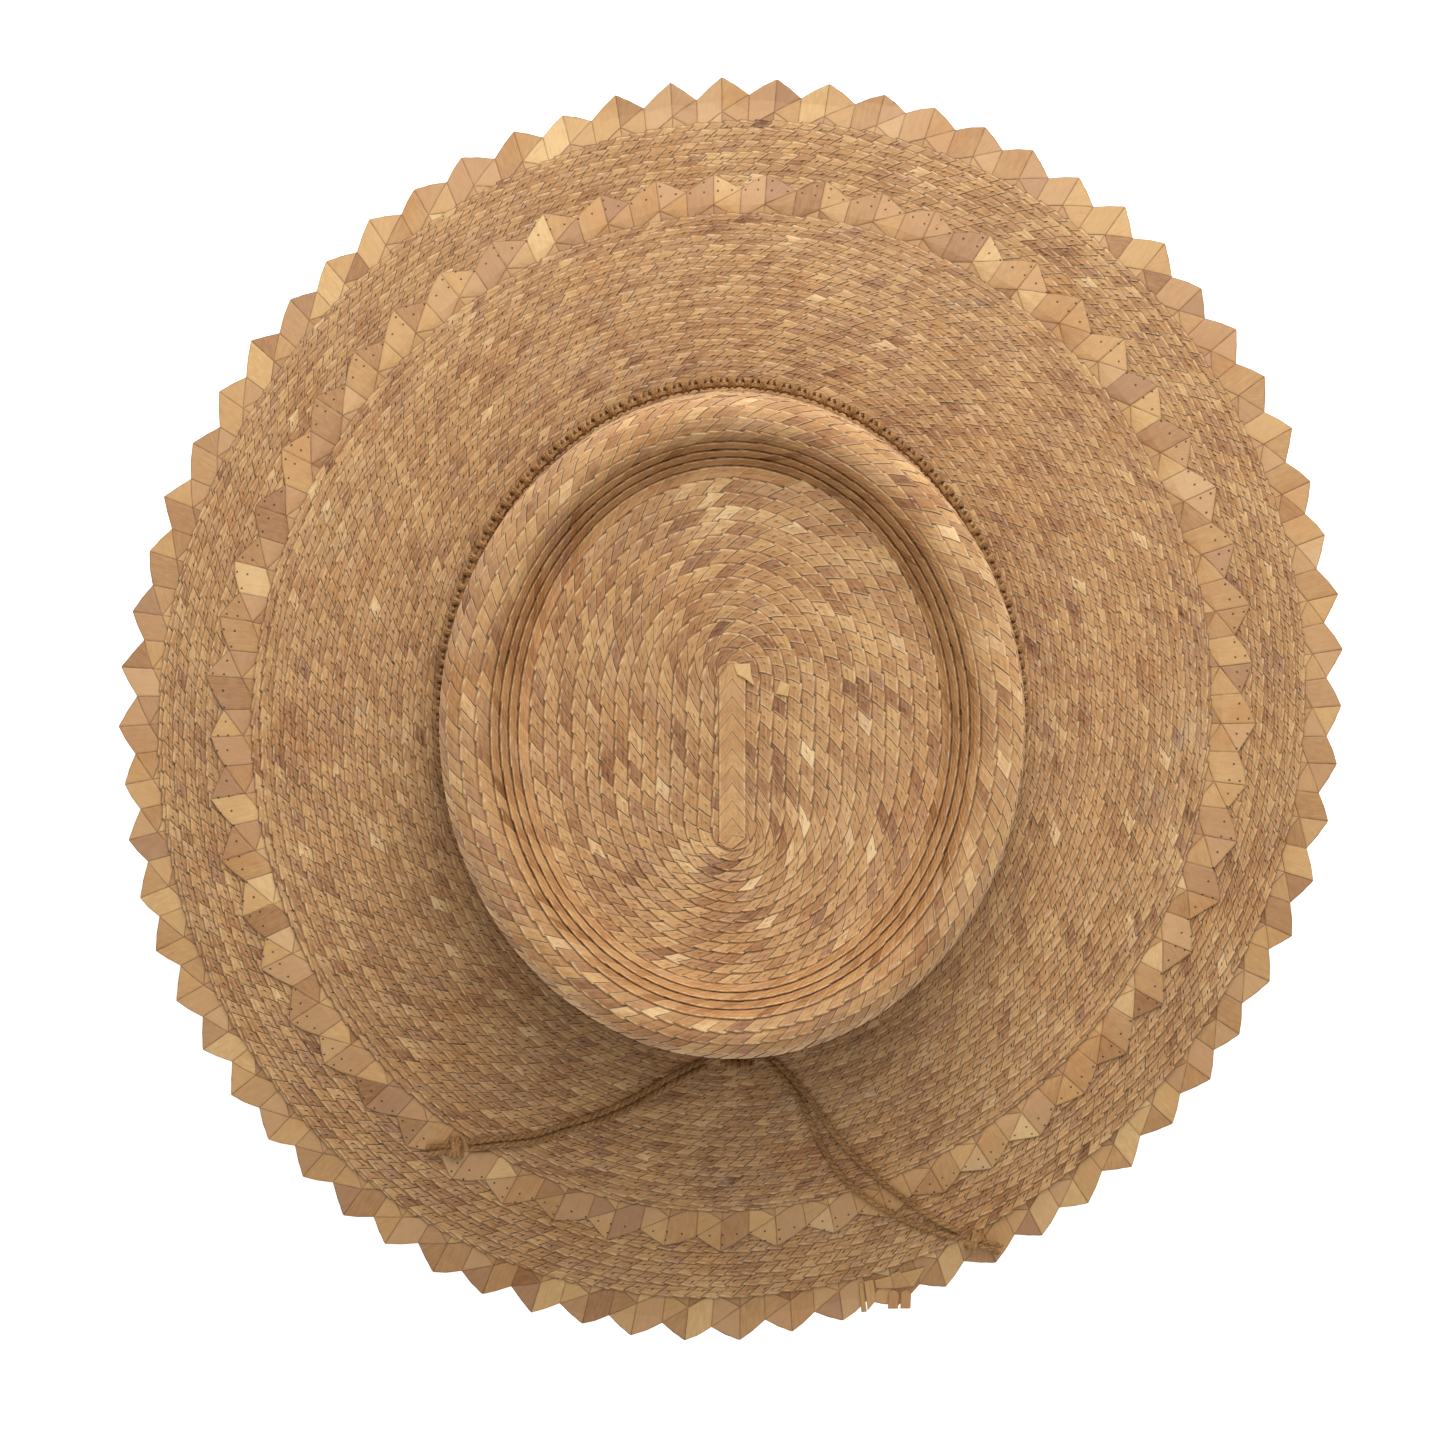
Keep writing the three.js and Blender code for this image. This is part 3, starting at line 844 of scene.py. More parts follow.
def makeStrand(name):
    look = tailCord
    points = [(x * mm, y * mm, lyingHeight(x * mm, y * mm)) for x, y in strandRoutes[name]]
    route = smoothRoute(points, 6)
    runs = laidCord(route, look["twist"], look["plyOffset"], look["plyRadius"], look["plyCorners"],
                    look["stepsPerTwist"], phase=0.13 * len(name))
    piece = joinPieces(runs, name)
    finishPiece(piece, name + "_cord", finish["cord"], "hatband", [name], smooth=60)
    marks = smoothRoute(points, 2)
    length = sum((b - a).length for a, b in zip(route, route[1:]))
    return piece, marks, length


def wrapsOf(look, steps):
    t = np.linspace(0, fullTurn, steps, endpoint=False)
    along, across, up = look["reach"]
    return [np.stack([place + along * lean * np.sin(t), across * np.cos(t), up * np.sin(t)], 1)
            for place, lean in look["wraps"]]


# wraps of one smooth cord each, and runs of laid cord
def tieRuns(look, wraps, runs):
    made = [tubeAlong(places, knotCord["radius"], knotCord["corners"], closed=True) for places in wraps]
    for places in runs:
        made += laidCord(places, knotCord["twist"], look["plyOffset"], look["plyRadius"],
                         knotCord["plyCorners"], knotCord["stepsPerTwist"])
    return made


# one overhand knot in the doubled cord: two wraps, a pass over and one under, and two cut ends
def makeEndKnot(name):
    spec, look = endKnots[name], endKnotLook
    x, y = spec["x"] * mm, spec["y"] * mm
    centre = np.array([x, y, lyingHeight(x, y) + look["rise"]])
    inward = 1 if x < 0 else -1    # towards the strands
    cosTurn, sinTurn = math.cos(spec["bearing"]), math.sin(spec["bearing"])
    over = np.stack([np.linspace(-0.0026, 0.0026, 12), 0.0020 * np.sin(np.linspace(-1.4, 1.4, 12)),
                     0.0017 * np.cos(np.linspace(-1.3, 1.3, 12))], 1)
    under = np.stack([np.linspace(-0.0022, 0.0020, 10), np.full(10, -0.0024),
                      np.linspace(-0.001, 0.0002, 10)], 1)
    share = np.linspace(0, 1, 10)
    ends = [np.stack([-inward * (0.001 + look["cutEnd"] * share), side * (0.0007 + 0.0006 * share),
                      -0.0004 - 0.0012 * share], 1) for side in (-1, 1)]

    def placed(places):
        return np.stack([places[:, 0] * cosTurn - places[:, 1] * sinTurn,
                         places[:, 0] * sinTurn + places[:, 1] * cosTurn, places[:, 2]], 1) + centre

    made = tieRuns(look, map(placed, wrapsOf(look, 40)), map(placed, [over, under, *ends]))
    return finishPiece(joinPieces(made, name), name + "_cord", finish["cord"], "hatband", [name],
                       smooth=60)


def makeTieKnot():
    look = tieKnotLook
    low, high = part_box("hatband_tie_knot")
    centre = (np.array(low) + np.array(high)) / 2
    wraps = [places + centre for places in wrapsOf(look, 36)]
    front = np.stack([np.linspace(-look["length"], look["length"], 14), np.full(14, -0.0004),
                      0.0009 * np.sin(np.linspace(-2, 2, 14))], 1)
    back = front * np.array([1, -1, -1])
    made = tieRuns(look, wraps, [front + centre, back + centre])
    finishPiece(joinPieces(made, "tieKnot"), "tieKnot", finish["cord"], "hatband",
                ["hatband_tie_knot"], smooth=60)


def makeTails():
    makeTieKnot()
    knots = {side: makeEndKnot(f"tail_{side}_knot") for side in ("left", "right")}
    for name in strandRoutes:
        piece, marks, length = makeStrand(name)


makeTails()
print("tails made")


# the narrow plait, sewn in a spiral
plaitCell = {
    "length": 0.0052,     # from one crossing to the next
    "half": 0.0041,       # half the width; the other half lies under the last turn
    "thickness": 0.00042,
    "overlap": 0.00060,   # of a crossing over the next one
    "slant": 1.25,        # how far a crossing runs on for each step across
    "raise": 0.00016,
    "crown": 0.00010,
    "margin": 0.00038,    # width of the outer edge that bends down
    "edgeDrop": 0.00018,
    "slip": 0.00015,      # how unevenly the crossings lie along the plait
    "fan": 0.00012,       # how unevenly they open
    "rise": 0.00004,      # how unevenly they stand up
    "stray": 0.00012,     # how unevenly they reach out
    "tuck": 0.0006,       # how far a row sinks where it runs out under another
}


# one crossing of the plait: a pointed plate, its length on X, its outer edge on +Y
def makePlaitCell():
    look = plaitCell
    half = look["half"]
    clearSelection()
    bpy.ops.mesh.primitive_grid_add(x_subdivisions=3, y_subdivisions=4, size=1)
    cell = bpy.context.object
    places = cornersOf(cell)
    rows = np.array([-half, 0.0, half * 0.5, half - look["margin"], half])
    share = np.round((places[:, 0] + 0.5) * 3).astype(int) / 3
    row = np.round((places[:, 1] + 0.5) * 4).astype(int)
    across = rows[row]
    along = share * (look["length"] + look["overlap"]) - look["slant"] * np.abs(across)
    lift = look["raise"] * (1 - share) + look["crown"] * np.sin(np.pi * share) * (row > 0) * (row < 4)
    lift -= np.where(row == 4, look["edgeDrop"], 0)
    setCorners(cell, np.stack([along, across, lift], 1))
    applyModifier(cell, "SOLIDIFY", thickness=look["thickness"], offset=0)
    return cell


cellTemplate = makePlaitCell()


strandLook = {
    "strands": 7,
    "run": (1, 6),            # crossings in a row that one strand shows
    "dark": (0.28, 0.44),
    "pale": (0.76, 0.90),
    "middle": (0.46, 0.70),
    "spread": 0.07,
    "lean": (0.10, 0.09),     # of the leaf's grain
}


def strandTones(count, seed, dark, pale):
    look = strandLook
    dice = np.random.default_rng(seed)
    tones = np.empty(count)
    for strand in range(look["strands"]):
        at = strand
        while at < count:
            run = int(dice.integers(*look["run"]))
            roll = dice.random()
            kind = "dark" if roll < dark else "pale" if roll > 1 - pale else "middle"
            tones[at:at + run * look["strands"]:look["strands"]] = dice.uniform(*look[kind])
            at += run * look["strands"]
    return np.clip(tones + dice.normal(0, look["spread"], count), 0.02, 1.0)


# a straight strip of crossings, with what its corners need for laying it: x, y, z, crossing, share of it
def startStrip(count):
    look = plaitCell
    strip = twin(cellTemplate)
    repeatAlong(strip, count, look["length"])
    x, y, z = cornersOf(strip).T
    cell = np.repeat(np.arange(count), len(cellTemplate.data.vertices))
    share = (x + look["slant"] * np.abs(y)) / look["length"] - cell
    return strip, x, y, z, cell, share


def mapStrip(strip, dice, x, y, cell, share, across, lean):
    look = plaitCell
    count = cell[-1] + 1
    index = loopCorners(strip)
    crossings = cell + np.clip(share, 0.001, 0.999)
    setMap(strip, "plait", np.stack([crossings[index], (across / look["half"])[index]], 1))
    grainX = x / mm + dice.uniform(0, 400, count)[cell]
    grainY = y / mm + lean * (x / mm - cell * look["length"] / mm) + dice.uniform(0, 400, count)[cell]
    setMap(strip, "grain", np.stack([grainX[index], grainY[index]], 1))


def shadeStrip(strip, tones):
    setShade(strip, "tone", "FACE", np.repeat(tones, len(cellTemplate.data.polygons)))


# places the copies of the crossing on a spiral whose outer edge goes from one distance to another
def layPlait(name, nodes, fromEdge, toEdge, turns, material, seed, relief=0.00062, clampAt=None,
             extra=0.0, sink=None, dark=0.15, pale=0.03, jog=0.0008, spots=()):
    look = plaitCell
    half = look["half"]
    total = fullTurn * (turns + extra)
    angles = np.linspace(0, total, int(total / 0.02) + 2)
    pitch = (toEdge - fromEdge) / turns

    def edgeAt(angle):
        edge = fromEdge + pitch * angle / fullTurn
        return edge if clampAt is None else np.minimum(edge, clampAt)

    lengths = runningLength(onHat(edgeAt(angles) - half / 2, 0, angles + spiralStart))
    count = int(round(lengths[-1] / look["length"]))
    strip, x, y, z, cell, share = startStrip(count)
    dice = np.random.default_rng(seed)

    def strays(key):
        return dice.normal(0, look[key], count)[cell]

    along = x + strays("slip") + strays("fan") * y / half
    along = along * lengths[-1] / (count * look["length"])
    angle = np.interp(along, lengths, angles)
    angle += np.where(along < 0, along / lengths[-1] * total, 0)
    edge = edgeAt(angle)
    fill = (y + half) / (2 * half)
    lift = relief * (2 * fill - 1) + z + strays("rise")
    if clampAt is not None:
        spacing = edge - edgeAt(np.maximum(angle - fullTurn, 0))
        lift -= look["tuck"] * np.clip(1 - spacing / pitch, 0, 1) * (angle > fullTurn)
    stagger = jog * dice.uniform(0.5, 1.4, count)[cell] * (np.clip(share, 0, 1) - 0.5)
    shifted = y + (stagger + strays("stray")) * np.clip(y / half, 0, 1) ** 2
    distance = edge - half + shifted
    if sink is not None:
        lift += np.interp(distance, *sink)
    laid = onHat(distance, lift, angle + spiralStart)
    setCorners(strip, laid)
    mapStrip(strip, dice, x, y, cell, share, y, dice.normal(*strandLook["lean"], count)[cell])
    tones = strandTones(count, seed + 1, dark, pale)
    middles = laid[y > 0.001].reshape(count, -1, 3).mean(1)
    for spotX, spotY, tone in spots:
        tones[np.argmin(np.hypot(middles[:, 0] - spotX * mm, middles[:, 1] - spotY * mm))] = tone
    shadeStrip(strip, tones)
    finishPiece(strip, name, material, "hat", nodes)


spiralStart = math.radians(75)  # bearing where each run of turns takes over from the last
recessTurns = 4
# how steeply the rows of each part stand, half the height from inner to outer edge
rowRelief = {"floor": 0.00045, "recess": 0.00075, "brim": 0.00100}
outerBrimRing = 0.1712         # where the outer rows come out from under the toothed band
pitchOf = hatForm["rowPitch"]
recessStart = section["ends"][1] - pitchOf / 2
rimStart = recessStart + recessTurns * pitchOf
wallStart = rimStart + 4 * pitchOf
foldStart = section["ends"][4]
foldEnd = brimStart + 0.002


def wholeTurns(start, end, pitch=pitchOf):
    return max(1, round((end - start) / pitch))


# x, y and rise in millimetres of the strand end folded over the beginning
starterFlap = [(0.3, 19.2, 0.1), (1.6, 16.0, 0.15), (3.6, 15.0, 0.3), (6.9, 12.5, 0.5), (5.8, 16.0, 0.4),
               (5.5, 19.5, 0.25)]
floorFold = [(13.2, 10.2, 0.1), (17.0, 9.4, 0.1), (17.6, 13.0, 0.3), (14.6, 14.2, 0.3)]
# x, y and tone of single crossings of the floor that are paler or redder
floorSpots = [
    (25.2, -11.5, 1.0), (21.7, -32.0, 1.0), (6.0, -47.0, 0.98), (-23.2, -20.7, 0.95), (1.0, 65.5, 0.92),
    (21.5, 61.5, 0.9), (-7.5, 68.0, 0.85), (-19.0, -71.0, 0.9), (-16.5, -39.0, 0.9), (-13.0, -42.5, 0.86),
    (-17.0, -1.5, 0.2), (-17.0, -5.0, 0.24), (16.5, -9.0, 0.22), (15.0, -14.5, 0.22), (16.0, 7.0, 0.25),
    (-6.0, -44.0, 0.2), (-8.0, -41.5, 0.24), (14.5, -32.0, 0.24), (16.0, -37.0, 0.25), (-2.0, 33.0, 0.2),
    (-7.0, -75.0, 0.24), (9.0, -56.0, 0.3), (-6.0, 53.0, 0.25), (13.0, 50.0, 0.25),
]


# the plait's beginning: seen over its whole width, its crossings pointing to the back
def makeStarter():
    low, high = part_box("crown_starter")
    length, half = plaitCell["length"], plaitCell["half"]
    count = int(round((high[1] - low[1] - half) / length)) + 1
    strip, x, y, z, cell, share = startStrip(count)
    dice = np.random.default_rng(5)
    step = (high[1] - low[1] - half) / (count - 1)
    forward = low[1] + half + (x / length - 1) * step
    bow = half * (1 - np.sqrt(np.clip(1 - (y / half) ** 2, 0, 1)))
    forward = np.clip(forward, low[1] + bow * 0.8, high[1] - bow)
    level = (low[2] + high[2]) / 2 + z - 0.0002 * (np.abs(y) / half) ** 2
    setCorners(strip, np.stack([-y, forward, level], 1))
    mapStrip(strip, dice, x, y, cell, share, np.abs(y), np.sign(y) * 0.35)
    shadeStrip(strip, np.clip(dice.normal(0.64, 0.07, count), 0, 1))
    finishPiece(strip, "crownStarter", finish["starter"], "hat", ["crown_starter"])
    plates = []
    floor = hatForm["floorHeight"] + 0.0011
    for outline, base, tone in ((starterFlap, high[2], 0.85), (floorFold, floor, 0.8)):
        plates.append(makePlate([(x * mm, y * mm, base + z * mm) for x, y, z in outline], border=0.0003))
        mapPlate(plates[-1], tone, 1.2)
    finishPiece(joinPieces(plates, "starterFlap"), "starterFlap", finish["edge"], "hat")


def makeCrown():
    makeStarter()
    start = ringOf["starter"] - ringOf["centre"]
    turns = wholeTurns(start, recessStart, hatForm["floorPitch"])
    layPlait("crownTopPlait", ["crown_top_plait"], start, recessStart, turns, finish["crown"], 11,
             relief=rowRelief["floor"], spots=floorSpots)
    for turn in range(recessTurns):
        edge = recessStart + turn * pitchOf
        layPlait(f"recessTurn{turn + 1}", [f"recess_turn_{turn + 1}"], edge, edge + pitchOf, 1,
                 finish["recess"], 21 + turn, relief=rowRelief["recess"], dark=0.1, jog=0.0001)
    layPlait("crownRimPlait", ["crown_rim_plait"], rimStart, wallStart, 4, finish["rim"], 31, dark=0.12,
             pale=0.05)
    layPlait("crownWallPlait", ["crown_wall_plait"], wallStart, foldStart, wholeTurns(wallStart, foldStart),
             finish["rim"], 41, dark=0.06)


def makeBrim():
    inner = alongBrim(ringOf["bandInner"])
    outerStart = alongBrim(outerBrimRing)
    outerEnd = alongBrim(ringOf["outerPlait"])
    layPlait("brimFoldTurn", ["brim_fold_turn"], foldStart, foldEnd, wholeTurns(foldStart, foldEnd),
             finish["brim"], 51)
    turns = wholeTurns(foldEnd, inner, hatForm["brimPitch"])
    layPlait("brimInnerPlait", ["brim_inner_plait"], foldEnd, inner, turns, finish["brim"], 61,
             relief=rowRelief["brim"], clampAt=inner, extra=0.85, dark=0.10)
    turns = (outerEnd - outerStart) / hatForm["brimPitch"]
    under = alongBrim(ringOf["band"])
    layPlait("brimOuterPlait", ["brim_outer_plait"], outerStart, outerEnd, turns, finish["brim"], 71,
             relief=rowRelief["brim"], clampAt=outerEnd, extra=0.85, dark=0.10,
             sink=([under + 0.0002, under + 0.003], [-0.00055, 0]))


# the toothed plaits: the zigzag band in the brim and the edge
toothPlait = {
    "plate": 0.00022,      # thickness of one folded strand
    "border": 0.00055,     # width of the turned-down border of each facet
    "crown": 0.00008,
    "backing": 0.00020,
    "firstTooth": math.radians(4.64),
    "turnJitter": 0.030,   # share of a tooth
    "tipJitter": 0.0006,
    "shoulder": (0.24, -0.0022),   # the fold bulges a little beside the tip
    "blunt": (-0.05, -0.00035),
    "cutsIn": (0.2, 0.4, 0.6, 0.8),   # cuts that let every layer follow the curved brim alike
    "cutsAlong": (-0.25, 0.0, 0.25),
    "tones": (0.50, 0.22),
    "backingTone": 0.3,
    "holeStep": 0.0048,
    "bandTeeth": 57,
    "bandDepth": 0.0185,   # from the tips to the hidden inner edge
    "edgeTeeth": 70,
    "edgeDepth": 0.0172,
}


# one flat facet with a turned-down border; corners are x, y, z in metres, counter-clockwise from above
def makePlate(corners, thickness=toothPlait["plate"], border=toothPlait["border"], crown=toothPlait["crown"]):
    clearSelection()
    bpy.ops.mesh.primitive_circle_add(vertices=len(corners), radius=0.01, fill_type="NGON")
    plate = bpy.context.object
    setCorners(plate, np.array(corners, dtype=float))
    editAll(plate, faceOutward,
            lambda: bpy.ops.mesh.inset(thickness=border, depth=0, use_even_offset=True))
    if plate.data.polygons[0].normal.z < 0:
        editAll(plate, bpy.ops.mesh.flip_normals)
    places = cornersOf(plate)
    rim = (np.arange(len(places)) < len(corners)).astype(float)
    places[:, 2] += (1 - rim) * crown
    setCorners(plate, places)
    setShade(plate, "rim", "POINT", rim)
    applyModifier(plate, "SOLIDIFY", thickness=thickness, offset=0)
    return plate


# one tone for a plate, and the way its grain runs
def mapPlate(piece, tone, turn):
    places = cornersOf(piece)[loopCorners(piece)] / mm
    along = places[:, 0] * math.cos(turn) + places[:, 1] * math.sin(turn)
    across = places[:, 1] * math.cos(turn) - places[:, 0] * math.sin(turn)
    setMap(piece, "grain", np.stack([along, across], 1))
    setShade(piece, "tone", "FACE", np.full(len(piece.data.polygons), tone))


# one tooth: a broad strand folded over at the tip and the triangles of its crossings
def makeTooth(pitch, depth):
    look = toothPlait
    side = pitch / math.sqrt(3)
    tip = (0.0, 0.0)
    centre = (0.0, -side)
    deep = (0.0, -2 * side)
    valleyAhead = (pitch / 2, -side / 2)
    valleyBehind = (-pitch / 2, -side / 2)
    lowAhead = (pitch / 2, -1.5 * side)
    lowBehind = (-pitch / 2, -1.5 * side)
    shoulder = (look["shoulder"][0] * pitch, look["shoulder"][1])
    blunt = (look["blunt"][0] * pitch, look["blunt"][1])
    inner = [(-pitch / 2, -depth - 0.001), (pitch / 2, -depth - 0.001)]
    # outline, height of each corner in millimetres, turn of the grain
    facets = [
        ([tip, centre, lowAhead, valleyAhead, shoulder], [0.38, 0.38, 0.36, 0.36, 0.37], 0.0),
        ([tip, blunt, valleyBehind, centre], [0.20, 0.20, 0.20, 0.20], 0.5),
        ([valleyBehind, lowBehind, centre], [0.28, 0.26, 0.32], 1.1),
        ([lowBehind, deep, centre], [0.22, 0.22, 0.22], -0.5),
        ([deep, lowAhead, centre], [0.20, 0.20, 0.20], 0.5),
        ([tip, blunt, valleyBehind, *inner, valleyAhead, shoulder], [0.0] * 7, 0.0),
    ]
    made = []
    for number, (outline, heights, turn) in enumerate(facets):
        plate = makePlate([(x, y, z * mm) for (x, y), z in zip(outline, heights)],
                          thickness=look["backing"] if number == 5 else look["plate"])
        faces = len(plate.data.polygons)
        setShade(plate, "facet", "FACE", np.full(faces, float(number)))
        setShade(plate, "turn", "FACE", np.full(faces, turn))
        made.append(plate)
    upper = joinPieces(made, "tooth")
    cuts = [((0, -depth * part, 0), (0, 1, 0)) for part in look["cutsIn"]]
    cuts += [((pitch * part, 0, 0), (1, 0, 0)) for part in look["cutsAlong"]]
    editAll(upper, lambda: bpy.ops.mesh.bisect(plane_co=(0, -depth, 0), plane_no=(0, -1, 0),
                                               clear_outer=True, use_fill=True),
            *(lambda at=at, across=across: bpy.ops.mesh.bisect(plane_co=at, plane_no=across)
              for at, across in cuts))
    under = twin(upper)
    setCorners(under, cornersOf(under) * np.array([-1, 1, -1]))  # the same plait seen from below
    return joinPieces([upper, under], "tooth")


def facetValues(piece, name, count):
    values = np.empty(count)
    piece.data.attributes[name].data.foreach_get("value", values)
    return values


def layTeeth(name, node, ring, teeth, depth, lifts, material, seed):
    look = toothPlait
    pitch = fullTurn * (ring - depth * 0.3) / teeth
    tooth = makeTooth(pitch, depth)
    faces = len(tooth.data.polygons)
    facet = np.round(facetValues(tooth, "facet", faces)).astype(int)
    turn = facetValues(tooth, "turn", faces)
    repeatAlong(tooth, teeth, pitch)
    dice = np.random.default_rng(seed)
    x, y, z = cornersOf(tooth).T
    share = x / pitch
    around = np.mod(share, teeth)
    knots = np.arange(2 * teeth + 1) / 2

    def strays(key):
        drawn = dice.normal(0, look[key], 2 * teeth)
        return np.interp(around, knots, np.append(drawn, drawn[0]))

    sway = strays("turnJitter")
    reach = strays("tipJitter")
    bearing = look["firstTooth"] + (share + sway * (0.4 + 0.6 * (1 + y / depth))) * fullTurn / teeth
    distance = alongBrim(ring) + y + reach * np.clip(1 + y / depth, 0, 1) - 0.0003
    setCorners(tooth, onHat(distance, np.interp(distance, *lifts) + z, bearing))
    loopTotal = np.empty(len(tooth.data.polygons), dtype=np.int32)
    tooth.data.polygons.foreach_get("loop_total", loopTotal)
    face = np.repeat(np.arange(len(loopTotal)), loopTotal)
    index = loopCorners(tooth)
    unit = face // faces
    angle = turn[face % faces] + math.pi / 2
    localX = (x[index] - unit * pitch) / mm
    localY = y[index] / mm
    offset = dice.uniform(0, 300, (teeth, 6))[unit, facet[face % faces]]
    along = localX * np.cos(angle) + localY * np.sin(angle) + offset
    across = -localX * np.sin(angle) + localY * np.cos(angle) + offset * 0.7
    setMap(tooth, "grain", np.stack([along, across], 1))
    setMap(tooth, "plait", np.stack([x[index] / look["holeStep"], y[index] / mm], 1))
    tones = np.clip(dice.normal(*look["tones"], (teeth, 6)), 0.08, 0.98)
    tones[:, 5] = look["backingTone"]
    setShade(tooth, "tone", "FACE", tones[np.repeat(np.arange(teeth), faces), np.tile(facet, teeth)])
    finishPiece(tooth, name, material, "hat", [node])


def makeToothedPlaits():
    look = toothPlait
    bandIn = alongBrim(ringOf["bandInner"])
    bandOut = alongBrim(ringOf["band"] - 0.0054)
    lifts = [bandIn - 0.004, bandIn + 0.0005, bandOut - 0.005, bandOut], [-0.0007, -0.0006, 0.0009, 0.0010]
    layTeeth("brimZigzagBand", "brim_zigzag_band", ringOf["band"], look["bandTeeth"], look["bandDepth"],
             lifts, finish["band"], 81)
    edge = alongBrim(ringOf["edge"])
    layTeeth("brimSawtoothEdge", "brim_sawtooth_edge", ringOf["edge"], look["edgeTeeth"], look["edgeDepth"],
             ([edge - 0.02, edge], [-0.0007, -0.0007]), finish["edge"], 91)


makeToothedPlaits()
print("toothed plaits laid")


# splice of the edge plait, front right
splice = {
    "flap": [(48.3, -191.0), (48.9, -193.9), (56.0, -194.2), (61.7, -193.3), (65.3, -186.4)],
    "fold": [(53.6, -188.9), (56.6, -187.7), (60.4, -193.2), (55.0, -194.2)],
    "strips": [
        [(43.0, -192.0), (44.0, -202.5), (45.8, -202.3), (44.3, -191.8)],
        [(44.8, -191.5), (46.1, -202.0), (48.9, -198.4), (47.9, -190.8)],
    ],
    "leans": (0.35, 0.2),        # of the two loose ends
}


def plateOnEdge(outline, lift):
    corners = [(x * mm, y * mm, brimLevel(x * mm, y * mm) - 0.0007 + 0.00055 + lift) for x, y in outline]
    return makePlate(corners, border=0.0003, crown=0.0001)


def makeSplice():
    parts = []
    for outline, lift, tone, turn in (
        (splice["flap"], 0.0006, 0.55, 0.25),
        (splice["fold"], 0.0009, 0.45, 1.1),
        (splice["strips"][0], 0.0003, 0.5, -1.5),
        (splice["strips"][1], 0.0003, 0.6, -1.5),
    ):
        parts.append(plateOnEdge(outline, lift))
        mapPlate(parts[-1], tone, turn)
    finishPiece(joinPieces(parts, "edgeSplice"), "edgeSplice", finish["edge"], "hat")
    for number, lean in enumerate(splice["leans"], start=1):
        low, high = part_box(f"edge_loose_end_{number}")
        width = (high[0] - low[0]) / mm
        left, right = low[0] / mm, high[0] / mm
        top, bottom = high[1] / mm, low[1] / mm
        outline = [(left - lean, bottom), (right - lean, bottom), (right, top - 1.2),
                   (left + width * 0.55, top), (left, top - 1.0)]
        plate = makePlate([(x * mm, y * mm, (low[2] + high[2]) / 2) for x, y in outline],
                          thickness=0.0004, border=0.00035, crown=0.0001)
        mapPlate(plate, 0.55, -1.5)
        finishPiece(plate, f"looseEnd{number}", finish["splice"], "hat",
                    [f"edge_loose_end_{number}"])


makeSplice()
print("splice made")


makeCrown()
makeBrim()
bpy.data.objects.remove(cellTemplate)
print("narrow plait laid")


# hatband: a chain of knots round the foot of the crown
knotChain = {
    "knots": 126,
    "cord": 0.00072,      # radius of the knotted cord
    "wrapOut": 0.00150,   # how far a wrap reaches in and out
    "wrapUp": 0.00225,    # and up and down
    "core": 0.00080,
    "coreUp": 0.00105,    # height of the two core cords over and under the middle
    "coreIn": -0.0006,
    "bead": 0.00105,
    "beadShape": (1.25, 0.9, 1.3),
    "beadOut": 0.00135,
    "ring": 0.1016,       # mean radius of the band round the crown's foot
    "swell": 0.05,
    "tilt": 0.00012,
}


# one square knot round the two core cords, its length on X, outwards on +Y
def makeChainKnot(pitch):
    look = knotChain
    unit = 0.0018
    parts = []
    for place, lean in ((0.28, 0.42), (0.66, -0.42)):
        clearSelection()
        bpy.ops.mesh.primitive_torus_add(major_segments=10, minor_segments=5, major_radius=1.0,
                                         minor_radius=look["cord"] / unit)
        wrap = bpy.context.object
        x, y, z = cornersOf(wrap).T
        setCorners(wrap, np.stack([pitch * place + z * unit + lean * 0.0013 * y,
                                   x * look["wrapOut"], y * look["wrapUp"]], 1))
        parts.append(wrap)
    for height in (-look["coreUp"], look["coreUp"]):
        clearSelection()
        bpy.ops.mesh.primitive_cylinder_add(vertices=6, radius=look["core"], depth=pitch,
                                            end_fill_type="NOTHING", rotation=(0, math.pi / 2, 0))
        core = bpy.context.object
        bpy.ops.object.transform_apply(location=True, rotation=True, scale=True)
        setCorners(core, cornersOf(core) + np.array([pitch / 2, look["coreIn"], height]))
        parts.append(core)
    clearSelection()
    bpy.ops.mesh.primitive_uv_sphere_add(segments=8, ring_count=5, radius=look["bead"])
    bead = bpy.context.object
    middle = np.array([pitch * 0.5, look["beadOut"], 0])
    setCorners(bead, cornersOf(bead) * np.array(look["beadShape"]) + middle)
    parts.append(bead)
    knot = joinPieces(parts, "chainKnot")
    editAll(knot, faceOutward)
    return knot


def makeHatband():
    look = knotChain
    low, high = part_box("hatband")
    height = (low[2] + high[2]) / 2
    angles = np.linspace(0, fullTurn, 1441)
    lengths = runningLength(press(np.full(1441, look["ring"]), np.full(1441, height), angles))
    pitch = lengths[-1] / look["knots"]
    chain = makeChainKnot(pitch)
    knot = np.repeat(np.arange(look["knots"]), len(chain.data.vertices))
    repeatAlong(chain, look["knots"], pitch)
    dice = np.random.default_rng(7)
    places = cornersOf(chain)
    swell = 1 + dice.normal(0, look["swell"], look["knots"])[knot]
    tilt = dice.normal(0, look["tilt"], look["knots"])[knot]
    bearing = np.interp(np.mod(places[:, 0], lengths[-1]), lengths, angles)
    radius = look["ring"] + places[:, 1] * swell
    setCorners(chain, press(radius, height + places[:, 2] * swell + tilt, bearing))
    finishPiece(chain, "knottedHatband", finish["cord"], "hatband", ["hatband"], smooth=60)


makeHatband()
print("hatband made")


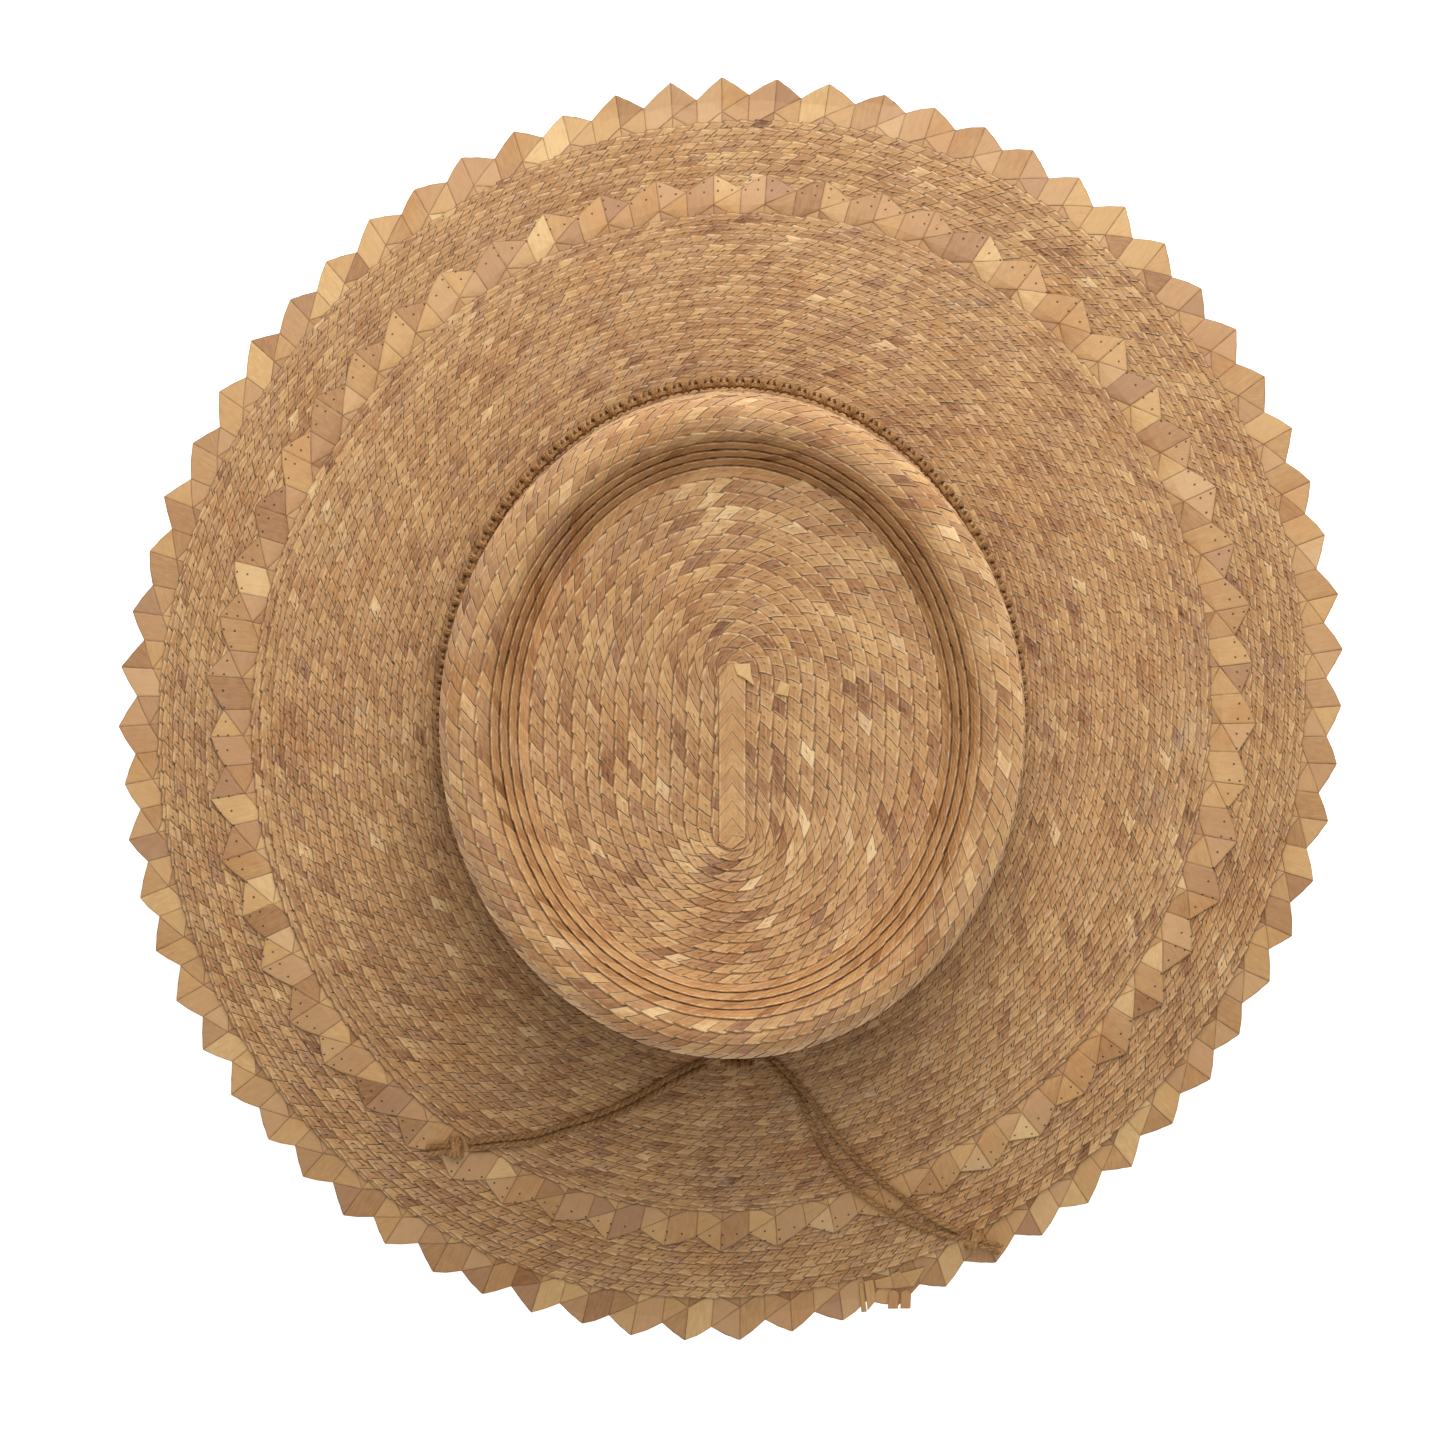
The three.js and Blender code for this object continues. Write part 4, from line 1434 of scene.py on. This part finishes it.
# sweatband
sweat = {
    "thickness": 0.0008,
    "sides": 160,
    "rings": 8,
    "wave": 0.0003,
    "bottom": 0.09605,   # mean radius of its two edges
    "top": 0.09464,
    "middle": 0.0954,
    "weave": 95,
}


def makeSweatband():
    look = sweat
    low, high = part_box("sweatband")
    bottom, top = low[2], high[2]
    clearSelection()
    bpy.ops.mesh.primitive_cylinder_add(vertices=look["sides"], radius=0.09, depth=top - bottom,
                                        end_fill_type="NOTHING", location=(0, 0, (top + bottom) / 2))
    cloth = bpy.context.object
    bpy.ops.object.transform_apply(location=True, rotation=True, scale=True)
    bpy.ops.object.mode_set(mode="EDIT")
    bpy.ops.mesh.select_all(action="DESELECT")
    bpy.ops.object.mode_set(mode="OBJECT")
    for edge in cloth.data.edges:
        a, b = (cloth.data.vertices[i].co for i in edge.vertices)
        edge.select = abs(a.z - b.z) > 0.5 * (top - bottom)
    bpy.ops.object.mode_set(mode="EDIT")
    bpy.ops.mesh.subdivide_edgering(number_cuts=look["rings"], interpolation="LINEAR")
    bpy.ops.object.mode_set(mode="OBJECT")
    places = cornersOf(cloth)
    bearing = np.arctan2(places[:, 1], places[:, 0])
    share = (places[:, 2] - bottom) / (top - bottom)
    radius = look["bottom"] + (look["top"] - look["bottom"]) * share
    radius -= look["wave"] * share * (1 + np.sin(bearing * 9) * np.cos(bearing * 4))
    index = loopCorners(cloth)
    loops = bearing[index].reshape(-1, 4)
    wrap = (loops.max(1) - loops.min(1) > math.pi)[:, None] & (loops < 0)  # faces over the seam
    around = np.where(wrap, loops + fullTurn, loops).ravel()
    setMap(cloth, "weave", np.stack([around * look["weave"], places[index, 2] / mm], 1))
    setCorners(cloth, press(radius, places[:, 2], bearing))
    applyModifier(cloth, "SOLIDIFY", thickness=look["thickness"], offset=0)
    finishPiece(cloth, "cottonSweatband", finish["cotton"], "hat", ["sweatband"], smooth=40)


makeSweatband()
print("sweatband made")


# floor, light
studio = {
    "floor": colour(250, 250, 250),
    "floorSize": 12,
    "floorLevel": -0.0004,
    "target": Vector((0, 0, 0.05)),
    "glow": 0.8,       # the table is lit from below
    "air": 0.32,
    "keyPower": 33,
    "keySize": (1.0, 2.2),   # across, and from overhead down to the back
    "keyPlace": (0.20, 1.20, 1.48),
    "fillPower": 2.2,
    "fillSize": (1.6, 1.0),
    "fillPlace": (0.0, -0.75, 1.75),
}


def setStudio():
    clearSelection()
    bpy.ops.mesh.primitive_plane_add(size=studio["floorSize"], location=(0, 0, studio["floorLevel"]))
    ground = bpy.context.object
    ground.name = "studioFloor"
    material, tree, shader = startMaterial("studioFloorPaint", 0.9)
    shader.inputs["Base Color"].default_value = studio["floor"]
    shader.inputs["Emission Color"].default_value = (1, 1, 1, 1)
    shader.inputs["Emission Strength"].default_value = studio["glow"]
    ground.data.materials.append(material)
    world = bpy.data.worlds.new("studioAir")
    world.use_nodes = True
    world.node_tree.nodes["Background"].inputs[0].default_value = (1, 1, 1, 1)
    world.node_tree.nodes["Background"].inputs[1].default_value = studio["air"]
    bpy.context.scene.world = world
    for label in ("key", "fill"):
        bpy.ops.object.light_add(type="AREA", location=studio[label + "Place"])
        lamp = bpy.context.object
        lamp.name = label + "Light"
        lamp.data.energy = studio[label + "Power"]
        lamp.data.shape = "RECTANGLE"
        lamp.data.size, lamp.data.size_y = studio[label + "Size"]
        lamp.rotation_euler = (studio["target"] - lamp.location).to_track_quat("-Z", "Y").to_euler()
    bpy.context.scene.view_settings.view_transform = "Standard"


setStudio()
